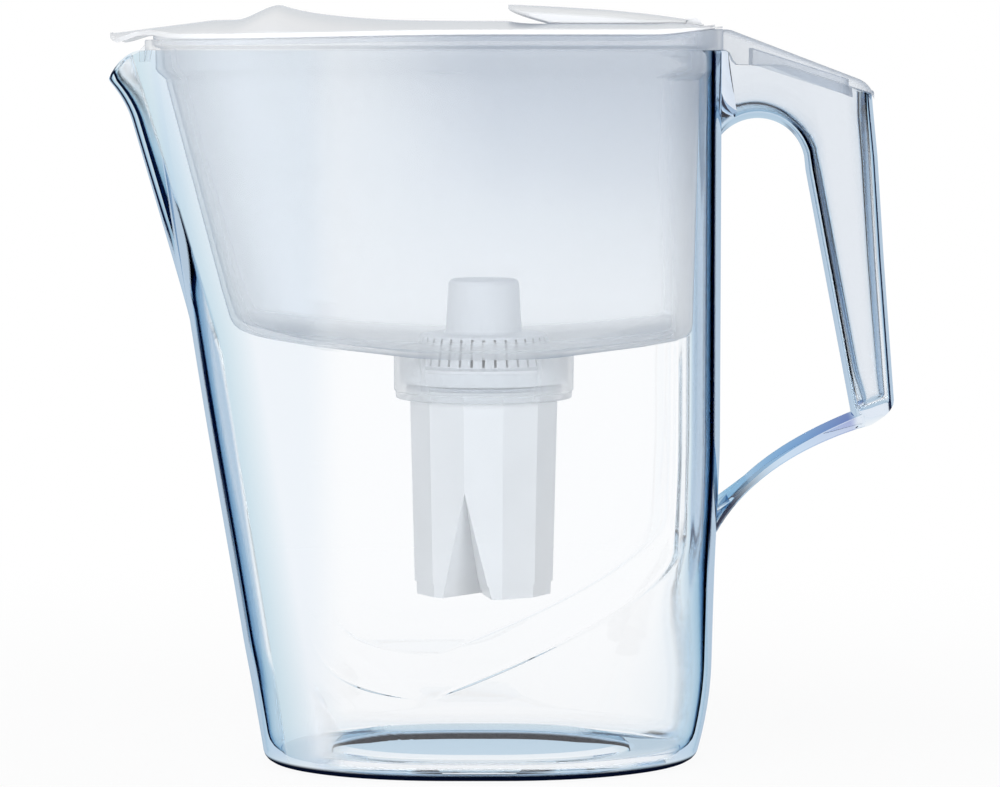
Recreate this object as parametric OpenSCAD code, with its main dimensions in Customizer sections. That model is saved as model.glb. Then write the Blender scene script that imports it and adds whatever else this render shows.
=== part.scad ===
// Water filter jug: a clear jug with a hollow handle, a milky funnel that hangs in it, a lid
// with a flip flap, and a filter cartridge in the funnel's socket.
// Millimetres. +Z is up, the spout points along -X and the handle along +X.
// The origin is on the table, at the middle of the whole object's length and width.

/* [Jug] */
// Height of the jug's rim above the table
rim_z = 240.7; // [238:0.1:243]
// Half the width of the jug at the rim
rim_half_width = 54.5; // [53:0.5:56]
// Half the width of the jug at the table
base_half_width = 51.5; // [49:0.5:53]
// Distance from the origin to the front wall, at the table
base_front = 80.3; // [79:0.1:81]
// Forward lean of the front wall, run over rise
front_lean = 0.16; // [0.15:0.01:0.17]
// Distance from the origin to the rear wall
rear_wall = 74.2; // [73:0.1:74.6]
// Thickness of the jug's walls
jug_wall = 2.4; // [2:0.1:2.8]
// Depth of the flat panel in each side of the jug
panel_depth = 0.8; // [0.4:0.1:1.2]

/* [Spout] */
// Height at which the spout begins to stand out from the front wall
spout_start_z = 146; // [142:1:150]
// Further lean of the spout, run over rise
spout_lean = 0.13; // [0.12:0.01:0.14]
// How far the pouring lip lies below the rim
lip_drop = 10; // [8:0.5:11]
// Half the width of the pouring mouth
mouth_half_width = 15; // [13:0.5:17]

/* [Handle] */
// Half the width of the handle where it meets the jug
handle_root_half = 17; // [15:0.5:18]
// Half the width of the handle at the lower end of the grip
handle_end_half = 12; // [11:0.5:13]
// Radius of the arch over the fingers
finger_r = 16.3; // [15:0.1:17]
// Thickness of the hollow handle's walls
handle_wall = 2.3; // [2:0.1:2.6]
// Thickness of the strap below the grip
strap_th = 2; // [1.8:0.1:3]

/* [Funnel] */
// Thickness of the funnel's walls and floor
funnel_wall = 1.8; // [1.6:0.1:2.2]
// Inner radius of the cartridge socket
socket_r = 28.4; // [28.3:0.1:28.6]
// Height of the socket's lower edge above the table
socket_bottom_z = 123.4; // [122:0.1:124]

/* [Lid] */
// Height of the crest across the front of the lid
crest_z = 256; // [254:0.5:258]
// Place of the crest along the lid
crest_x = -73.6; // [-78:0.1:-70]
// Place of the flap's front lip along the lid
flap_front_x = 2.8; // [0:0.1:6]
// Half the width of the flap
flap_half_width = 36; // [33:0.5:37]

/* [Cartridge] */
// Across the corners of the twelve-sided shell, half, at its top
shell_top_r = 25.9; // [25.3:0.1:26]
// Across the corners of the twelve-sided shell, half, at its foot
shell_foot_r = 24.1; // [23.5:0.1:24.5]
// Height of the cartridge's foot above the table
cartridge_z = 57; // [55:0.5:59]
// Number of inlet slots round the head
slot_count = 36; // [24:4:40]

/* [Hidden] */
$fn = 64;

// steps round the front and rear corners of an outline
front_steps = 12;
rear_steps = 8;

// jug
foot_r = 3;
base_mid_x = -6;
floor_z = 2.8;
floor_r = 6;
inner_lip_drop = lip_drop - 3.6;
panel_low_z = 27;
panel_high_z = 134;
crease_w = 3;
wall_rows = [9, 18, 26.9, 29, 33, 40, 50, 62, 76, 94, 114, panel_high_z, 146, 162, 180, 200, 212, 222,
             230, 236, rim_z];

// axis of the socket and of the cartridge
axis_x = -5.5;

// width of a tool that cuts right across the handle, the tail or the flap
across = 60;

clear_blue = [0.80, 0.89, 0.95, 0.35];
milky = [0.88, 0.91, 0.94, 0.75];
white_pp = [0.96, 0.96, 0.97];
cool_white = [0.90, 0.91, 0.93];

function mix(a, b, t) = a + (b - a) * t;
function clamp(t) = max(0, min(1, t));
function ease(t) = let (u = clamp(t)) u * u * (3 - 2 * u);
function ramp(u, soft) = (u + sqrt(u * u + soft * soft)) / 2;
function hump(u) = pow(cos(90 * clamp(abs(u))), 2);

// ---- walls of the jug, as functions of the height z ----
function front_x(z) = -(base_front + front_lean * z);
function rear_x(z) = rear_wall - 1.4 * ease((112 - z) / 45) - 1.3 * clamp(1 - z / 72)
    - 4.8 * pow(clamp(1 - z / 34), 2);
function half_y(z) = mix(base_half_width, rim_half_width, z / rim_z);
function spout_reach(z) = spout_lean * ramp(z - spout_start_z, 8) + 4 * pow(clamp((z - 217) / 14), 2);
function spout_half(z) = mix(11, 20, clamp((z - spout_start_z) / 90));

// ends of the flat side between the rounded front and rear corners
function corner_front(z) = -16 - 52 * ease(z / 45) - 18 * ease((z - 40) / 95) + 4 * ease((z - 150) / 90);
function corner_rear(z) = 61 * ease(z / 82);

// edges of the shallow panel in the side, which meet at the panel's lowest point
function panel_mid(z) = mix(-8, -22.6, clamp(z / panel_low_z));
function panel_front(z) = z < panel_low_z ? panel_mid(z) - 1.5 : max(corner_front(z) + 1,
    min(panel_mid(z) - 1.5, front_x(z) + 15 + 46 / (1 + (z - panel_low_z) / 4.5)));
function panel_rear(z) = z < panel_low_z ? panel_mid(z) + 1.5 : min(corner_rear(z) - 1,
    max(panel_mid(z) + 1.5, rear_x(z) - 14.5 - 80 * pow(clamp((76 - z) / 49), 1.6)));
function panel_dip(z) = panel_depth * clamp((z - panel_low_z) / 9) * (1 - ease((z - panel_high_z) / 30));

// Half of a closed outline, from the middle of the front to the middle of the rear, as [x, y].
// Superelliptic corners join a flat side between x0 and x1, with a dip from p0 to p1 in it.
function half_outline(xf, x0, x1, xr, w, nf, nr, p0, p1, dip = 0) =
    let (step = min(crease_w, (p1 - p0) / 3.2))
    concat(
        [for (i = [0:front_steps]) let (t = 90 * pow(i / front_steps, 1.6))
            [x0 - (x0 - xf) * pow(cos(t), 2 / nf), w * pow(sin(t), 2 / nf)]],
        [[p0, w]],
        [for (k = [0, 0.33, 0.67, 1]) [mix(p0 + step, p1 - step, k), w - dip]],
        [[p1, w]],
        [for (i = [rear_steps:-1:0]) let (t = 90 * pow(i / rear_steps, 1.3))
            [x1 + (xr - x1) * pow(cos(t), 2 / nr), w * pow(sin(t), 2 / nr)]]
    );

// A whole ring of points from a half one
function whole(half) = concat(half, [for (i = [len(half) - 2:-1:1]) [half[i].x, -half[i].y, half[i].z]]);

// Closed solid through rings of points, capped by a fan at each end
module loft(rings, low, high) {
    n = len(rings[0]);
    rows = len(rings);
    points = concat([for (r = rings) each r], [low, high]);
    faces = concat(
        [for (r = [0:rows - 2], c = [0:n - 1]) let (a = r * n + c, b = r * n + (c + 1) % n)
            each [[a, b, b + n], [a, b + n, a + n]]],
        [for (c = [0:n - 1]) [rows * n, (c + 1) % n, c]],
        [for (c = [0:n - 1]) let (k = (rows - 1) * n) [rows * n + 1, k + c, k + (c + 1) % n]]
    );
    polyhedron(points, faces, convexity = 8);
}

// Closed tube of rings without caps: the last ring joins the first
module ring_loft(rings) {
    n = len(rings[0]);
    rows = len(rings);
    points = [for (r = rings) each r];
    faces = [for (r = [0:rows - 1], c = [0:n - 1])
        let (a = r * n + c, b = r * n + (c + 1) % n, r2 = ((r + 1) % rows) * n)
        each [[a, b, r2 + (c + 1) % n], [a, r2 + (c + 1) % n, r2 + c]]];
    polyhedron(points, faces, convexity = 8);
}

// ---- jug ----
function foot_inset(z, r) = z < r ? r - sqrt(r * r - (r - z) * (r - z)) : 0;

// Outline of the jug at height z, drawn in by inset and without the spout
function body_half(z, inset, foot) =
    let (f = inset + foot, up = clamp(z / 90))
    half_outline(front_x(z) + f, corner_front(z), corner_rear(z), rear_x(z) - f, half_y(z) - f,
                 mix(2.15, 2.4, up), mix(2.05, 2.5, up), panel_front(z), panel_rear(z), panel_dip(z));

// The same outline with the spout drawn out, and with the rows near the rim dipping to the lip
function spout_window(p, half) = p.x > 0 ? 0 : hump(p.y / half);
function jug_half(z, inset, foot, drop) = [for (p = body_half(z, inset, foot))
    let (lip = drop * spout_window(p, mouth_half_width - inset * 0.5),
         zz = z < 200 ? z : z - lip * (z - 200) / (rim_z - 200),
         reach = spout_reach(zz) + front_lean * (zz - z))
    [p.x - reach * spout_window(p, spout_half(zz) - inset * 0.6), p.y, zz]];

function scaled_half(z, k) = [for (p = body_half(0, 0, foot_r))
    [base_mid_x + (p.x - base_mid_x) * k, p.y * k, z]];

module jug_outside() {
    loft(concat(
            [for (f = [[3, 0.72], [0, 0.735], [0, 0.85], [0, 1]]) whole(scaled_half(f[0], f[1]))],
            [for (z = concat([1, 2, foot_r], wall_rows))
                whole(jug_half(z, 0, foot_inset(z, foot_r), lip_drop))],
            [whole(jug_half(rim_z, jug_wall + 1, 0, inner_lip_drop))]),
        [base_mid_x, 0, 3.2], [-20, 0, rim_z]);
}

module jug_inside() {
    above = 30;
    loft(concat(
            [for (f = [[floor_z + 3, 0.7], [floor_z, 0.74], [floor_z, 0.9]])
                whole(scaled_half(f[0], f[1]))],
            [whole([for (p = body_half(floor_z, jug_wall, floor_r * 0.6)) [p.x, p.y, floor_z]])],
            [for (z = concat([4.5, 7], wall_rows))
                whole(jug_half(z, jug_wall, foot_inset(max(0, z - floor_z), floor_r), inner_lip_drop))],
            [whole([for (p = jug_half(rim_z, jug_wall, 0, inner_lip_drop)) [p.x, p.y, p.z + above]])]),
        [base_mid_x, 0, floor_z + 3.2], [-20, 0, rim_z + above]);
}

// Handle, in its side view: the arch over the fingers, the line of the grip on each side,
// the open top that the funnel's tail covers, and the slanted lower end.
finger_mid = [87, 201.6];
function grip_out(z) = 125.4 + 0.0795 * (225.4 - z);
function grip_in(z) = 103.3 + 0.193 * (201 - z);
function slope_z(x) = 235.5 - 0.32 * (x - 95);
function arch(a) = finger_mid + finger_r * [cos(a), sin(a)];
function grip_half(z) = mix(handle_end_half, 14.5, clamp((z - 115) / 95));
bridge_top = 12;

// Each rib is [point on the finger side, point on the outer side, half width]
bridge_ribs = [for (a = [150:-20:50]) let (x = mix(68, 107, (150 - a) / 100))
    [arch(a), [x, slope_z(max(x, 95)) + bridge_top], mix(handle_root_half, 15, (150 - a) / 100)]];
corner_ribs = [[arch(36), [117, slope_z(117) + bridge_top], 14.9],
               [arch(24), [grip_out(237), 237], 14.8],
               [arch(12), [grip_out(222), 222], 14.7]];
function grip_ribs(zs) = [for (z = zs) [[grip_in(z), z], [grip_out(z), z + 5 * clamp((z - 170) / 30)],
                                        grip_half(z)]];
outer_grip = grip_ribs([198, 186, 172, 158, 144, 130, 118, 108]);
inner_grip = grip_ribs([198, 186, 172, 158, 144, 132]);
cavity_end = [[120, 118], [133.5, 123.8], handle_end_half];

// Superelliptic section round one rib, as a ring of points
function rib_ring(rib, wall) =
    let (d = rib[1] - rib[0], u = d / norm(d), a = rib[0] + u * wall, b = rib[1] - u * wall,
         n = 2.7, h = rib[2] - wall)
    [for (t = [0:18:342])
        let (c = cos(t), s = sin(t), k = (1 + sign(c) * pow(abs(c), 2 / n)) / 2, p = a + (b - a) * k)
        [p.x, h * sign(s) * pow(abs(s), 2 / n), p.y]];
function rib_mid(rib) = let (p = (rib[0] + rib[1]) / 2) [p.x, 0, p.y];

module side_cut(outline, depth) {
    rotate([90, 0, 0]) linear_extrude(depth, center = true) polygon(outline);
}

// Line of the jug's rim behind the rear wall and along the open top of the handle
tail_seat = [[75.3, rim_z - 0.2], [76, rim_z - 0.2], [77.2, 237.2], [79, 235.5], [95, 235.5]];

module handle_outside() {
    ribs = concat(bridge_ribs, corner_ribs, outer_grip);
    difference() {
        loft([for (r = ribs) rib_ring(r, 0)], rib_mid(ribs[0]), rib_mid(ribs[len(ribs) - 1]));
        side_cut(concat([[0, rim_z - 0.2]], tail_seat,
                        [[128, slope_z(128)], [160, 214.7], [160, 320], [0, 320]]), across);
        side_cut([[108, 108], [118.5, 112.4], [125.2, 114.9], [129.6, 117.8], [132.9, 121.3],
                  [133.3, 122.7], [134.5, 140], [150, 140], [150, 90], [108, 90]], across);
    }
}

module handle_inside() {
    ribs = concat(
        [for (r = concat(bridge_ribs, [corner_ribs[0]])) [r[0], r[1] + [0, 8], r[2]]],
        [[corner_ribs[1][0], corner_ribs[1][1] + [0, 6], corner_ribs[1][2]], corner_ribs[2]],
        inner_grip, [cavity_end]);
    intersection() {
        loft([for (r = ribs) rib_ring(r, handle_wall)], rib_mid(ribs[0]), rib_mid(ribs[len(ribs) - 1]));
        side_cut([[76.4, 260], [76.4, 238], [80.6, 209], [100, 90], [150, 90], [150, 260]], across);
    }
}

function bezier(p, q, r, t) = (1 - t) * (1 - t) * p + 2 * t * (1 - t) * q + t * t * r;

// Flat bar across the handle, as one stop of the strap
module strap_bar(p, th, half) {
    translate([p.x, 0, p.y]) rotate([90, 0, 0]) cylinder(h = 2 * half, r = th / 2, center = true, $fn = 16);
}

// The strap curves from the grip's end to the rear wall, and forks into two legs before it
strap_path = [[123, 116.4], [85.9, 103.4], [72.3, 79.2]];
fork_share = 0.62;
leg_th = 1.6;
upper_leg_end = [73.2, 86.2];
function strap_mid(t) = bezier(strap_path[0], strap_path[1], strap_path[2], t);

module strap() {
    steps = 9;
    for (i = [0:steps - 1]) {
        hull() for (k = [i, i + 1]) {
            t = k / steps;
            strap_bar(strap_mid(t), strap_th + 2.2 * pow(1 - t, 3) - 0.2 * t,
                      mix(handle_end_half - 1, 14, t));
        }
    }
    hull() {
        strap_bar(strap_mid(fork_share), leg_th, 12.6);
        strap_bar(upper_leg_end, leg_th, 14);
    }
}

module jug() {
    color(clear_blue) difference() {
        union() {
            jug_outside();
            difference() {
                handle_outside();
                handle_inside();
            }
            strap();
        }
        jug_inside();
    }
}

// ---- funnel ----
function dish_z(x) = 141.2 + 7.1 * pow((x + 7) / 84, 2);
function funnel_front(z) = -(90.8 + 0.262 * (z - 148.6));
function funnel_rear(z) = mix(66.5, 70, clamp((z - 148) / 85));
function funnel_half(z) = mix(46.5, 50, clamp((z - 143) / 90));
band_step_z = 234;
lid_edge_rise = 2.2;

// Lower edge of the lid along x, which is the top of the funnel's band
function edge_z(x) = 244.3 + 1.4 * ease((x + 105) / 105) + lid_edge_rise * ease((x - 50) / 25);

// Outline of the funnel's wall at height z, drawn in by inset
function funnel_outline(z, inset) =
    half_outline(funnel_front(z) + inset, funnel_front(z) + mix(24, 33, clamp((z - 148) / 90)),
                 funnel_rear(z) - mix(14, 19, clamp((z - 148) / 90)), funnel_rear(z) - inset,
                 funnel_half(z) - inset, 2.4, 2.5,
                 funnel_front(z) + 40, funnel_rear(z) - 26);

// Outline of the band that rests on the rim, drawn in by inset
function band_outline(inset) =
    let (f = front_x(rim_z) - 0.4, r = rear_wall + 0.5, half = rim_half_width + 0.4)
    half_outline(f + inset, corner_front(rim_z), corner_rear(rim_z), r - inset, half - inset,
                 2.4, 2.5, corner_front(rim_z) + 12, corner_rear(rim_z) - 12);

function at_z(outline, z) = whole([for (p = outline) [p.x, p.y, z]]);
function at_dish(outline, lift) = whole([for (p = outline) [p.x, p.y, dish_z(p.x) + lift]]);
function at_edge(outline, lift) = whole([for (p = outline) [p.x, p.y, edge_z(p.x) + lift]]);

// Circle with the same columns as the floor's outline
function socket_ring(r, z) = let (o = funnel_outline(148, 6)) whole([for (p = o)
    let (d = [p.x - axis_x, p.y], k = r / norm(d)) [axis_x + d.x * k, d.y * k, z]]);

// Floor ring part way from the socket to the wall
function floor_ring(k, r, z, lift) =
    let (o = at_dish(funnel_outline(148, 6), lift), c = socket_ring(r, z))
    [for (i = [0:len(o) - 1]) mix(c[i], o[i], k)];

module funnel_shell() {
    w = funnel_wall;
    low_z = 138;
    join_r = socket_r + 1.2;
    outer = concat(
        [socket_ring(join_r, low_z), floor_ring(0.5, join_r, low_z, -0.6),
         at_dish(funnel_outline(148, 3.2), 0), at_dish(funnel_outline(149, 0.9), 1.1),
         at_dish(funnel_outline(151, 0), 3.6)],
        [for (z = [162, 180, 200, 218, band_step_z - 1.5]) at_z(funnel_outline(z, 0), z)],
        [at_z(band_outline(4.1), band_step_z), at_z(band_outline(3.5), rim_z + 0.01),
         at_z(band_outline(0.3), rim_z + 0.01), at_z(band_outline(0), rim_z + 0.5),
         at_edge(band_outline(0), 0)]);
    inner = concat(
        [at_edge(band_outline(2.2), 0), at_z(band_outline(2.4), rim_z + 1.5),
         at_z(band_outline(3.5 + w), rim_z), at_z(band_outline(4.1 + w), band_step_z + 1)],
        [for (z = [band_step_z - 1, 218, 200, 180, 162]) at_z(funnel_outline(z, w), z)],
        [at_dish(funnel_outline(151, w), 4.6), at_dish(funnel_outline(149, w + 1.6), 2.8),
         floor_ring(0.5, join_r, low_z + w, w - 0.4), socket_ring(join_r, low_z + w)]);
    ring_loft(concat(outer, inner));
}

// Socket that the cartridge drops into, with the ledge that its collar rests on
seat_z = 128.8;
module socket() {
    translate([axis_x, 0, 0]) rotate_extrude() polygon([
        [socket_r - 2.1, socket_bottom_z], [socket_r + 1.4, socket_bottom_z], [socket_r + 1.5, 125.6],
        [socket_r + 2, 126.2], [socket_r + 2.1, 140.3], [socket_r, 140.3], [socket_r, seat_z],
        [socket_r - 2.1, seat_z]]);
}

// Tail that covers the open top of the handle
function tail_top(x) = 247.7 - 0.38 * max(0, x - 77.2) - 3.4 * pow(max(0, x - 121) / 5.2, 2);
function tail_low(x) = lookup(x, concat([[70, rim_z + 0.2]], [for (p = tail_seat) p + [0.25, 0.25]],
    [[130, slope_z(130) + 0.25]]));
function tail_half(x) = mix(handle_root_half - 0.4, 14.7, clamp((x - 74) / 40)) * (x < 116 ? 1
    : pow(1 - pow(clamp((x - 116) / 10.3), 2.6), 1 / 2.6));

module funnel_tail() {
    stations = [73.4, 75.5, 76.25, 77.45, 79.25, 86, 95, 104, 112, 117, 120.5, 123, 124.8, 125.7];
    rings = [for (x = stations)
        let (h = max(2.5, tail_half(x)), top = tail_top(x), low = tail_low(x),
             side = max(low + 0.2, top - 2), lip = min(side, low + 0.6),
             half = [[h * 0.3, top], [h * 0.72, mix(side, top, 0.8)], [h * 0.93, mix(side, top, 0.45)],
                     [h, side], [h, lip], [h - 0.5, low], [h * 0.3, low]])
        concat([for (i = [6:-1:0]) [x, -half[i].x, half[i].y]], [for (p = half) [x, p.x, p.y]])];
    loft(rings, [73.4, 0, 245], [125.8, 0, 227.3]);
}

// Plug under the tail, which drops into the handle's open top, seen from above
plug_x = [83, 118.8];
plug_side = [[plug_x[0], 12.9], [95, 12.7], [107, 11.9], [113, 11.4], [116.5, 9.6], [118.2, 6.5],
             [plug_x[1], 3]];
function plug_plan(inset) =
    let (half = [for (p = plug_side)
        [max(plug_x[0] + inset, min(p.x, plug_x[1] - inset)), p.y - min(inset, p.y - 1)]])
    concat(half, [for (i = [len(half) - 1:-1:0]) [half[i].x, -half[i].y]]);

module tail_plug(inset, low, high) {
    intersection() {
        translate([0, 0, 200]) linear_extrude(60) polygon(plug_plan(inset));
        side_cut([[80, slope_z(80) + low], [125, slope_z(125) + low], [125, slope_z(125) + high],
                  [80, slope_z(80) + high]], across);
    }
}

// Two shallow recesses in line along each flank of the tail
flank_recesses = [
    [[88.6, 239.9], [90, 240.5], [103.8, 236.3], [104.3, 233.9], [103.4, 233.4], [89.6, 239]],
    [[105.7, 233.3], [105.9, 235.4], [116.8, 231.1], [119.4, 229.4], [119.2, 228.9], [106.4, 232.7]]];
module flank_cuts() {
    mid = [97, 15.4];
    tool = 3;
    taper = 2.4;
    for (side = [-1, 1], outline = flank_recesses)
        translate([mid.x, side * (mid.y + tool / 2), 0]) rotate(-side * taper)
            side_cut([for (p = outline) [p.x - mid.x, p.y]], tool);
}

module funnel() {
    color(milky) difference() {
        union() {
            difference() {
                funnel_shell();
                translate([axis_x, 0, 130]) cylinder(r = socket_r + 0.7, h = 20); // the floor's hole
            }
            socket();
            funnel_tail();
            tail_plug(0, -3, 1.5);
        }
        tail_plug(1.6, -4, 2.6);
        flank_cuts();
    }
}

// ---- lid ----
nose_x = -131.2;
flap_rear_x = 66.8;
hinge_x = 64.4;
hinge_z = 248.6;
pin_r = 1.5;
pin_gap = 0.05;
pin_length = 43.2;
barrel_r = 2.3;
barrel_length = 34.4;
lug_y = 17.6;
lug_wall = 1.3;
lug_length = 4.6;
collar_low_z = 245.6;
ledge_z = 249.3;

// Half width of the lid at x: the band's outline, and in front of it the nose over the spout
lid_outline = band_outline(0.2);
band_profile = [for (i = [0:len(lid_outline) - 1])
    if (i == 0 || lid_outline[i].x > lid_outline[i - 1].x + 0.001) [lid_outline[i].x, lid_outline[i].y]];
nose_profile = [[nose_x, 0], [-130.9, 6], [-130.3, 10.5], [-129.1, 14.5], [-127.2, 18], [-123.8, 21.5],
                [-120.8, 24], [-118.8, 26], [-116.8, 28.6], [-114.8, 31]];
function lid_half(x) = max(x < -114.8 ? lookup(x, nose_profile) : 0,
    x < lid_outline[0].x || x > 74.3 ? 0 : lookup(x, band_profile));

// Height of the lid's top along its middle: the nose rises to a crest and falls to the valley
function crest(x) = x < crest_x ? 1 - ease((crest_x - x) / 15) : exp(-(x - crest_x) / 15);
function lid_mid_z(x) = mix(246.3, 250.9, clamp((x - nose_x) / 36)) + (crest_z - 251.0) * crest(x)
    - 0.4 * ease((x + 60) / 30) - 2.1 * ease((x - 54) / 19);
nose_edge = [[nose_x, 0.8], [-130, -0.3], [-128.6, -1.1], [-127.2, -1.3], [-124.8, -0.6], [-120.8, 0.8],
             [-116.8, 1.3], [-113, 1], [-108.5, 0.2], [-104, 0]];
function lid_low_z(x) = edge_z(x) + 0.25 + (x < -104 ? lookup(x, nose_edge) : 0);
function lid_edge_th(x) = mix(1.6, 0.5, ease((x - 54) / 16));
function lid_z(x, y) = let (e = lid_low_z(x) + lid_edge_th(x), h = max(1, lid_half(x)))
    e + (lid_mid_z(x) - e) * (1 - pow(clamp(abs(y) / h), 2.6));

// Cross-sections of the lid's shell, open below
module lid_shell() {
    th = 1.8;
    stations = [nose_x + 0.1, nose_x + 0.6, nose_x + 2, nose_x + 5, -123, -119.1, -117.2, -114, -109.5, -104,
                -97, -90, -84, -79.5, -76, crest_x, -70, -65, -58, -48, -34, -14, 8, 30, 46, 56, 62, 66.5,
                70, 72.5, 73.8, 74.25];
    shares = [1, 0.97, 0.88, 0.72, 0.5, 0.25];
    rings = [for (x = stations)
        let (h = max(1.2, lid_half(x)), low = lid_low_z(x), least = low + 0.75 * lid_edge_th(x))
        concat([for (k = shares) [x, -k * h, max(lid_z(x, k * h), least)]], [[x, 0, max(lid_z(x, 0), least)]],
               [for (i = [5:-1:0]) [x, shares[i] * h, max(lid_z(x, shares[i] * h), least)]],
               [for (k = [1, 0.96, 0.9, 0.7, 0.35, 0, -0.35, -0.7, -0.9, -0.96, -1])
                   [x, k * h, abs(k) > 0.95 ? low : max(low, lid_z(x, k * h) - th)]])];
    loft(rings, [stations[0] - 0.1, 0, 245.8], [74.35, 0, 248.4]);
}

// Plug rim under the lid, which drops inside the funnel's band
module lid_rim() {
    ring_loft([at_edge(band_outline(4.4), -1.8), at_edge(band_outline(2.9), -1.8),
               at_edge(band_outline(2.8), 1.4), at_edge(band_outline(4.4), 1.4)]);
}

function flap_half(x, inset) =
    let (a = clamp((flap_front_x + 10 + inset - x) / 10), b = clamp((x - 44) / (flap_rear_x - inset - 44)))
    (flap_half_width - inset) * pow(1 - pow(a, 2.5), 1 / 2.5) * (1 - 0.42 * pow(b, 2));
flap_shares = [0, 0.6, 2, 5, 10, 20, 32, 42, 50, 57, 62, 64] / 64;
function flap_plan(inset) =
    let (half = [for (k = flap_shares)
        let (x = mix(flap_front_x + inset, flap_rear_x - inset, k)) [x, max(3, flap_half(x, inset))]])
    concat(half, [for (i = [len(half) - 1:-1:0]) [half[i].x, -half[i].y]]);

// Round rod along the flap's hinge axis
module hinge_rod(r, length) {
    translate([hinge_x, 0, hinge_z]) rotate([90, 0, 0]) cylinder(r = r, h = length, center = true);
}

module lid() {
    color(white_pp) difference() {
        union() {
            difference() {
                union() {
                    lid_shell();
                    lid_rim();
                    // collar round the filling opening, with the ledge that the flap rests on
                    translate([0, 0, collar_low_z]) linear_extrude(3.6) polygon(flap_plan(2));
                    translate([0, 0, ledge_z - 1.3]) linear_extrude(1.3) polygon(flap_plan(-0.9));
                }
                // the filling opening, and the room for the flap above its ledge
                translate([0, 0, 236]) linear_extrude(30) polygon(flap_plan(4));
                translate([0, 0, ledge_z]) linear_extrude(30) polygon(flap_plan(-0.4));
            }
            // lugs that hold the ends of the hinge pin
            for (side = [-1, 1])
                translate([0, side * (lug_y + 1.7), 0]) hinge_rod(pin_r + lug_wall, lug_length);
        }
        // room for the barrel between the lugs, and the bores for the pin
        translate([hinge_x - 3, -lug_y, 240]) cube([6, 2 * lug_y, 20]);
        hinge_rod(pin_r + pin_gap, pin_length);
    }
}

// ---- flip flap ----
function flap_top(x) = lookup(x, [[2, 256], [8, 255.8], [20, 255.2], [36, 254.2], [50, 252.8], [60, 251.4],
                                  [68, 250.2]]);
function flap_low(x) = max(ledge_z + 0.25, 254.6 - 5.2 * pow(clamp((x - flap_front_x) / 15), 0.75));

module flip_flap() {
    length = 58.6;
    shares = [1, 0.95, 0.8, 0.5];
    rings = [for (k = flap_shares)
        let (x = flap_front_x + k * length, h = max(3, flap_half(x, 0)), t = flap_top(x), low = flap_low(x),
             side = max(low + 0.9, t - 2.6))
        concat([for (q = shares) [x, -q * h, q == 1 ? side : mix(t, side, pow(q, 5))]], [[x, 0, t]],
               [for (i = [3:-1:0]) let (q = shares[i]) [x, q * h, q == 1 ? side : mix(t, side, pow(q, 5))]],
               [for (q = [1, 0.6, 0, -0.6, -1]) [x, q * h, low]])];
    neck_x = flap_front_x + length - 1.4;
    color(white_pp) difference() {
        union() {
            loft(rings, [flap_front_x, 0, 255.2], [flap_front_x + length, 0, 250.3]);
            // neck between the plate and the barrel
            side_cut([[neck_x, 249.8], [neck_x, 251], [hinge_x, hinge_z + barrel_r - 0.2],
                      [hinge_x, hinge_z + 0.3]], barrel_length - 0.6);
            hinge_rod(barrel_r, barrel_length);
        }
        hinge_rod(pin_r + pin_gap, across);
    }
}

module flap_hinge_pin() {
    color(cool_white) hinge_rod(pin_r, pin_length - 0.2);
}

// ---- cartridge ----
collar_top_z = 133.2;
collar_r = 28.1;
head_r = 21.8;
neck_r = 26.1;
shoulder_z = 145.2;
knob_top_z = 163.6;
cap_top_z = cartridge_z + 4.5;
notch_angles = [-105, 15, 135];
notch_valley = 4.7;
notch_apex_z = 93.4;
notch_half_width = 9.3;

module at_axis() {
    translate([axis_x, 0, 0]) children();
}

// Twelve-sided tapered solid between two heights
module facets(z0, r0, z1, r1) {
    translate([0, 0, z0]) rotate(15) linear_extrude(z1 - z0, scale = r1 / r0) circle(r = r0, $fn = 12);
}

function shell_r(z) = mix(shell_foot_r, shell_top_r, clamp((z - cartridge_z) / (seat_z - cartridge_z)));

// Wedges that cut the notches: each is bounded by two planes that meet along a sloping valley
module notches(grow) {
    reach = 30;
    low_z = cartridge_z - 1;
    valley = notch_valley - 1.8 * grow;
    apex = [shell_r(notch_apex_z) - 0.9 * grow, notch_apex_z + grow];
    high_z = low_z + (apex.y - low_z) * (reach - valley) / (apex.x - valley);
    half = (notch_half_width + grow) * (reach - valley) / (shell_foot_r - 1 - valley);
    for (a = notch_angles) rotate(a) polyhedron(
        [[valley, 0, low_z], [reach, -half, low_z], [reach, half, low_z], [reach, 0, high_z]],
        [[0, 1, 2], [0, 3, 1], [0, 2, 3], [1, 3, 2]]);
}

module cartridge_shell() {
    wall = 1.5;
    color(cool_white) at_axis() difference() {
        union() {
            difference() {
                facets(cap_top_z, shell_r(cap_top_z), 127, shell_r(127));
                notches(0);
            }
            translate([0, 0, 126.2]) cylinder(r = neck_r, h = 3.2);
            translate([0, 0, seat_z]) cylinder(r = collar_r, h = collar_top_z - seat_z);
        }
        // groove of the sealing ring
        translate([0, 0, 126.8]) difference() {
            cylinder(r = collar_r, h = 1.6);
            cylinder(r = neck_r - 0.8, h = 1.6);
        }
        difference() {
            facets(cap_top_z - 1, shell_r(cap_top_z) - wall, 127, shell_r(127) - wall);
            notches(wall);
        }
        translate([0, 0, 126.9]) cylinder(r = 23, h = 10);
    }
}

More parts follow.
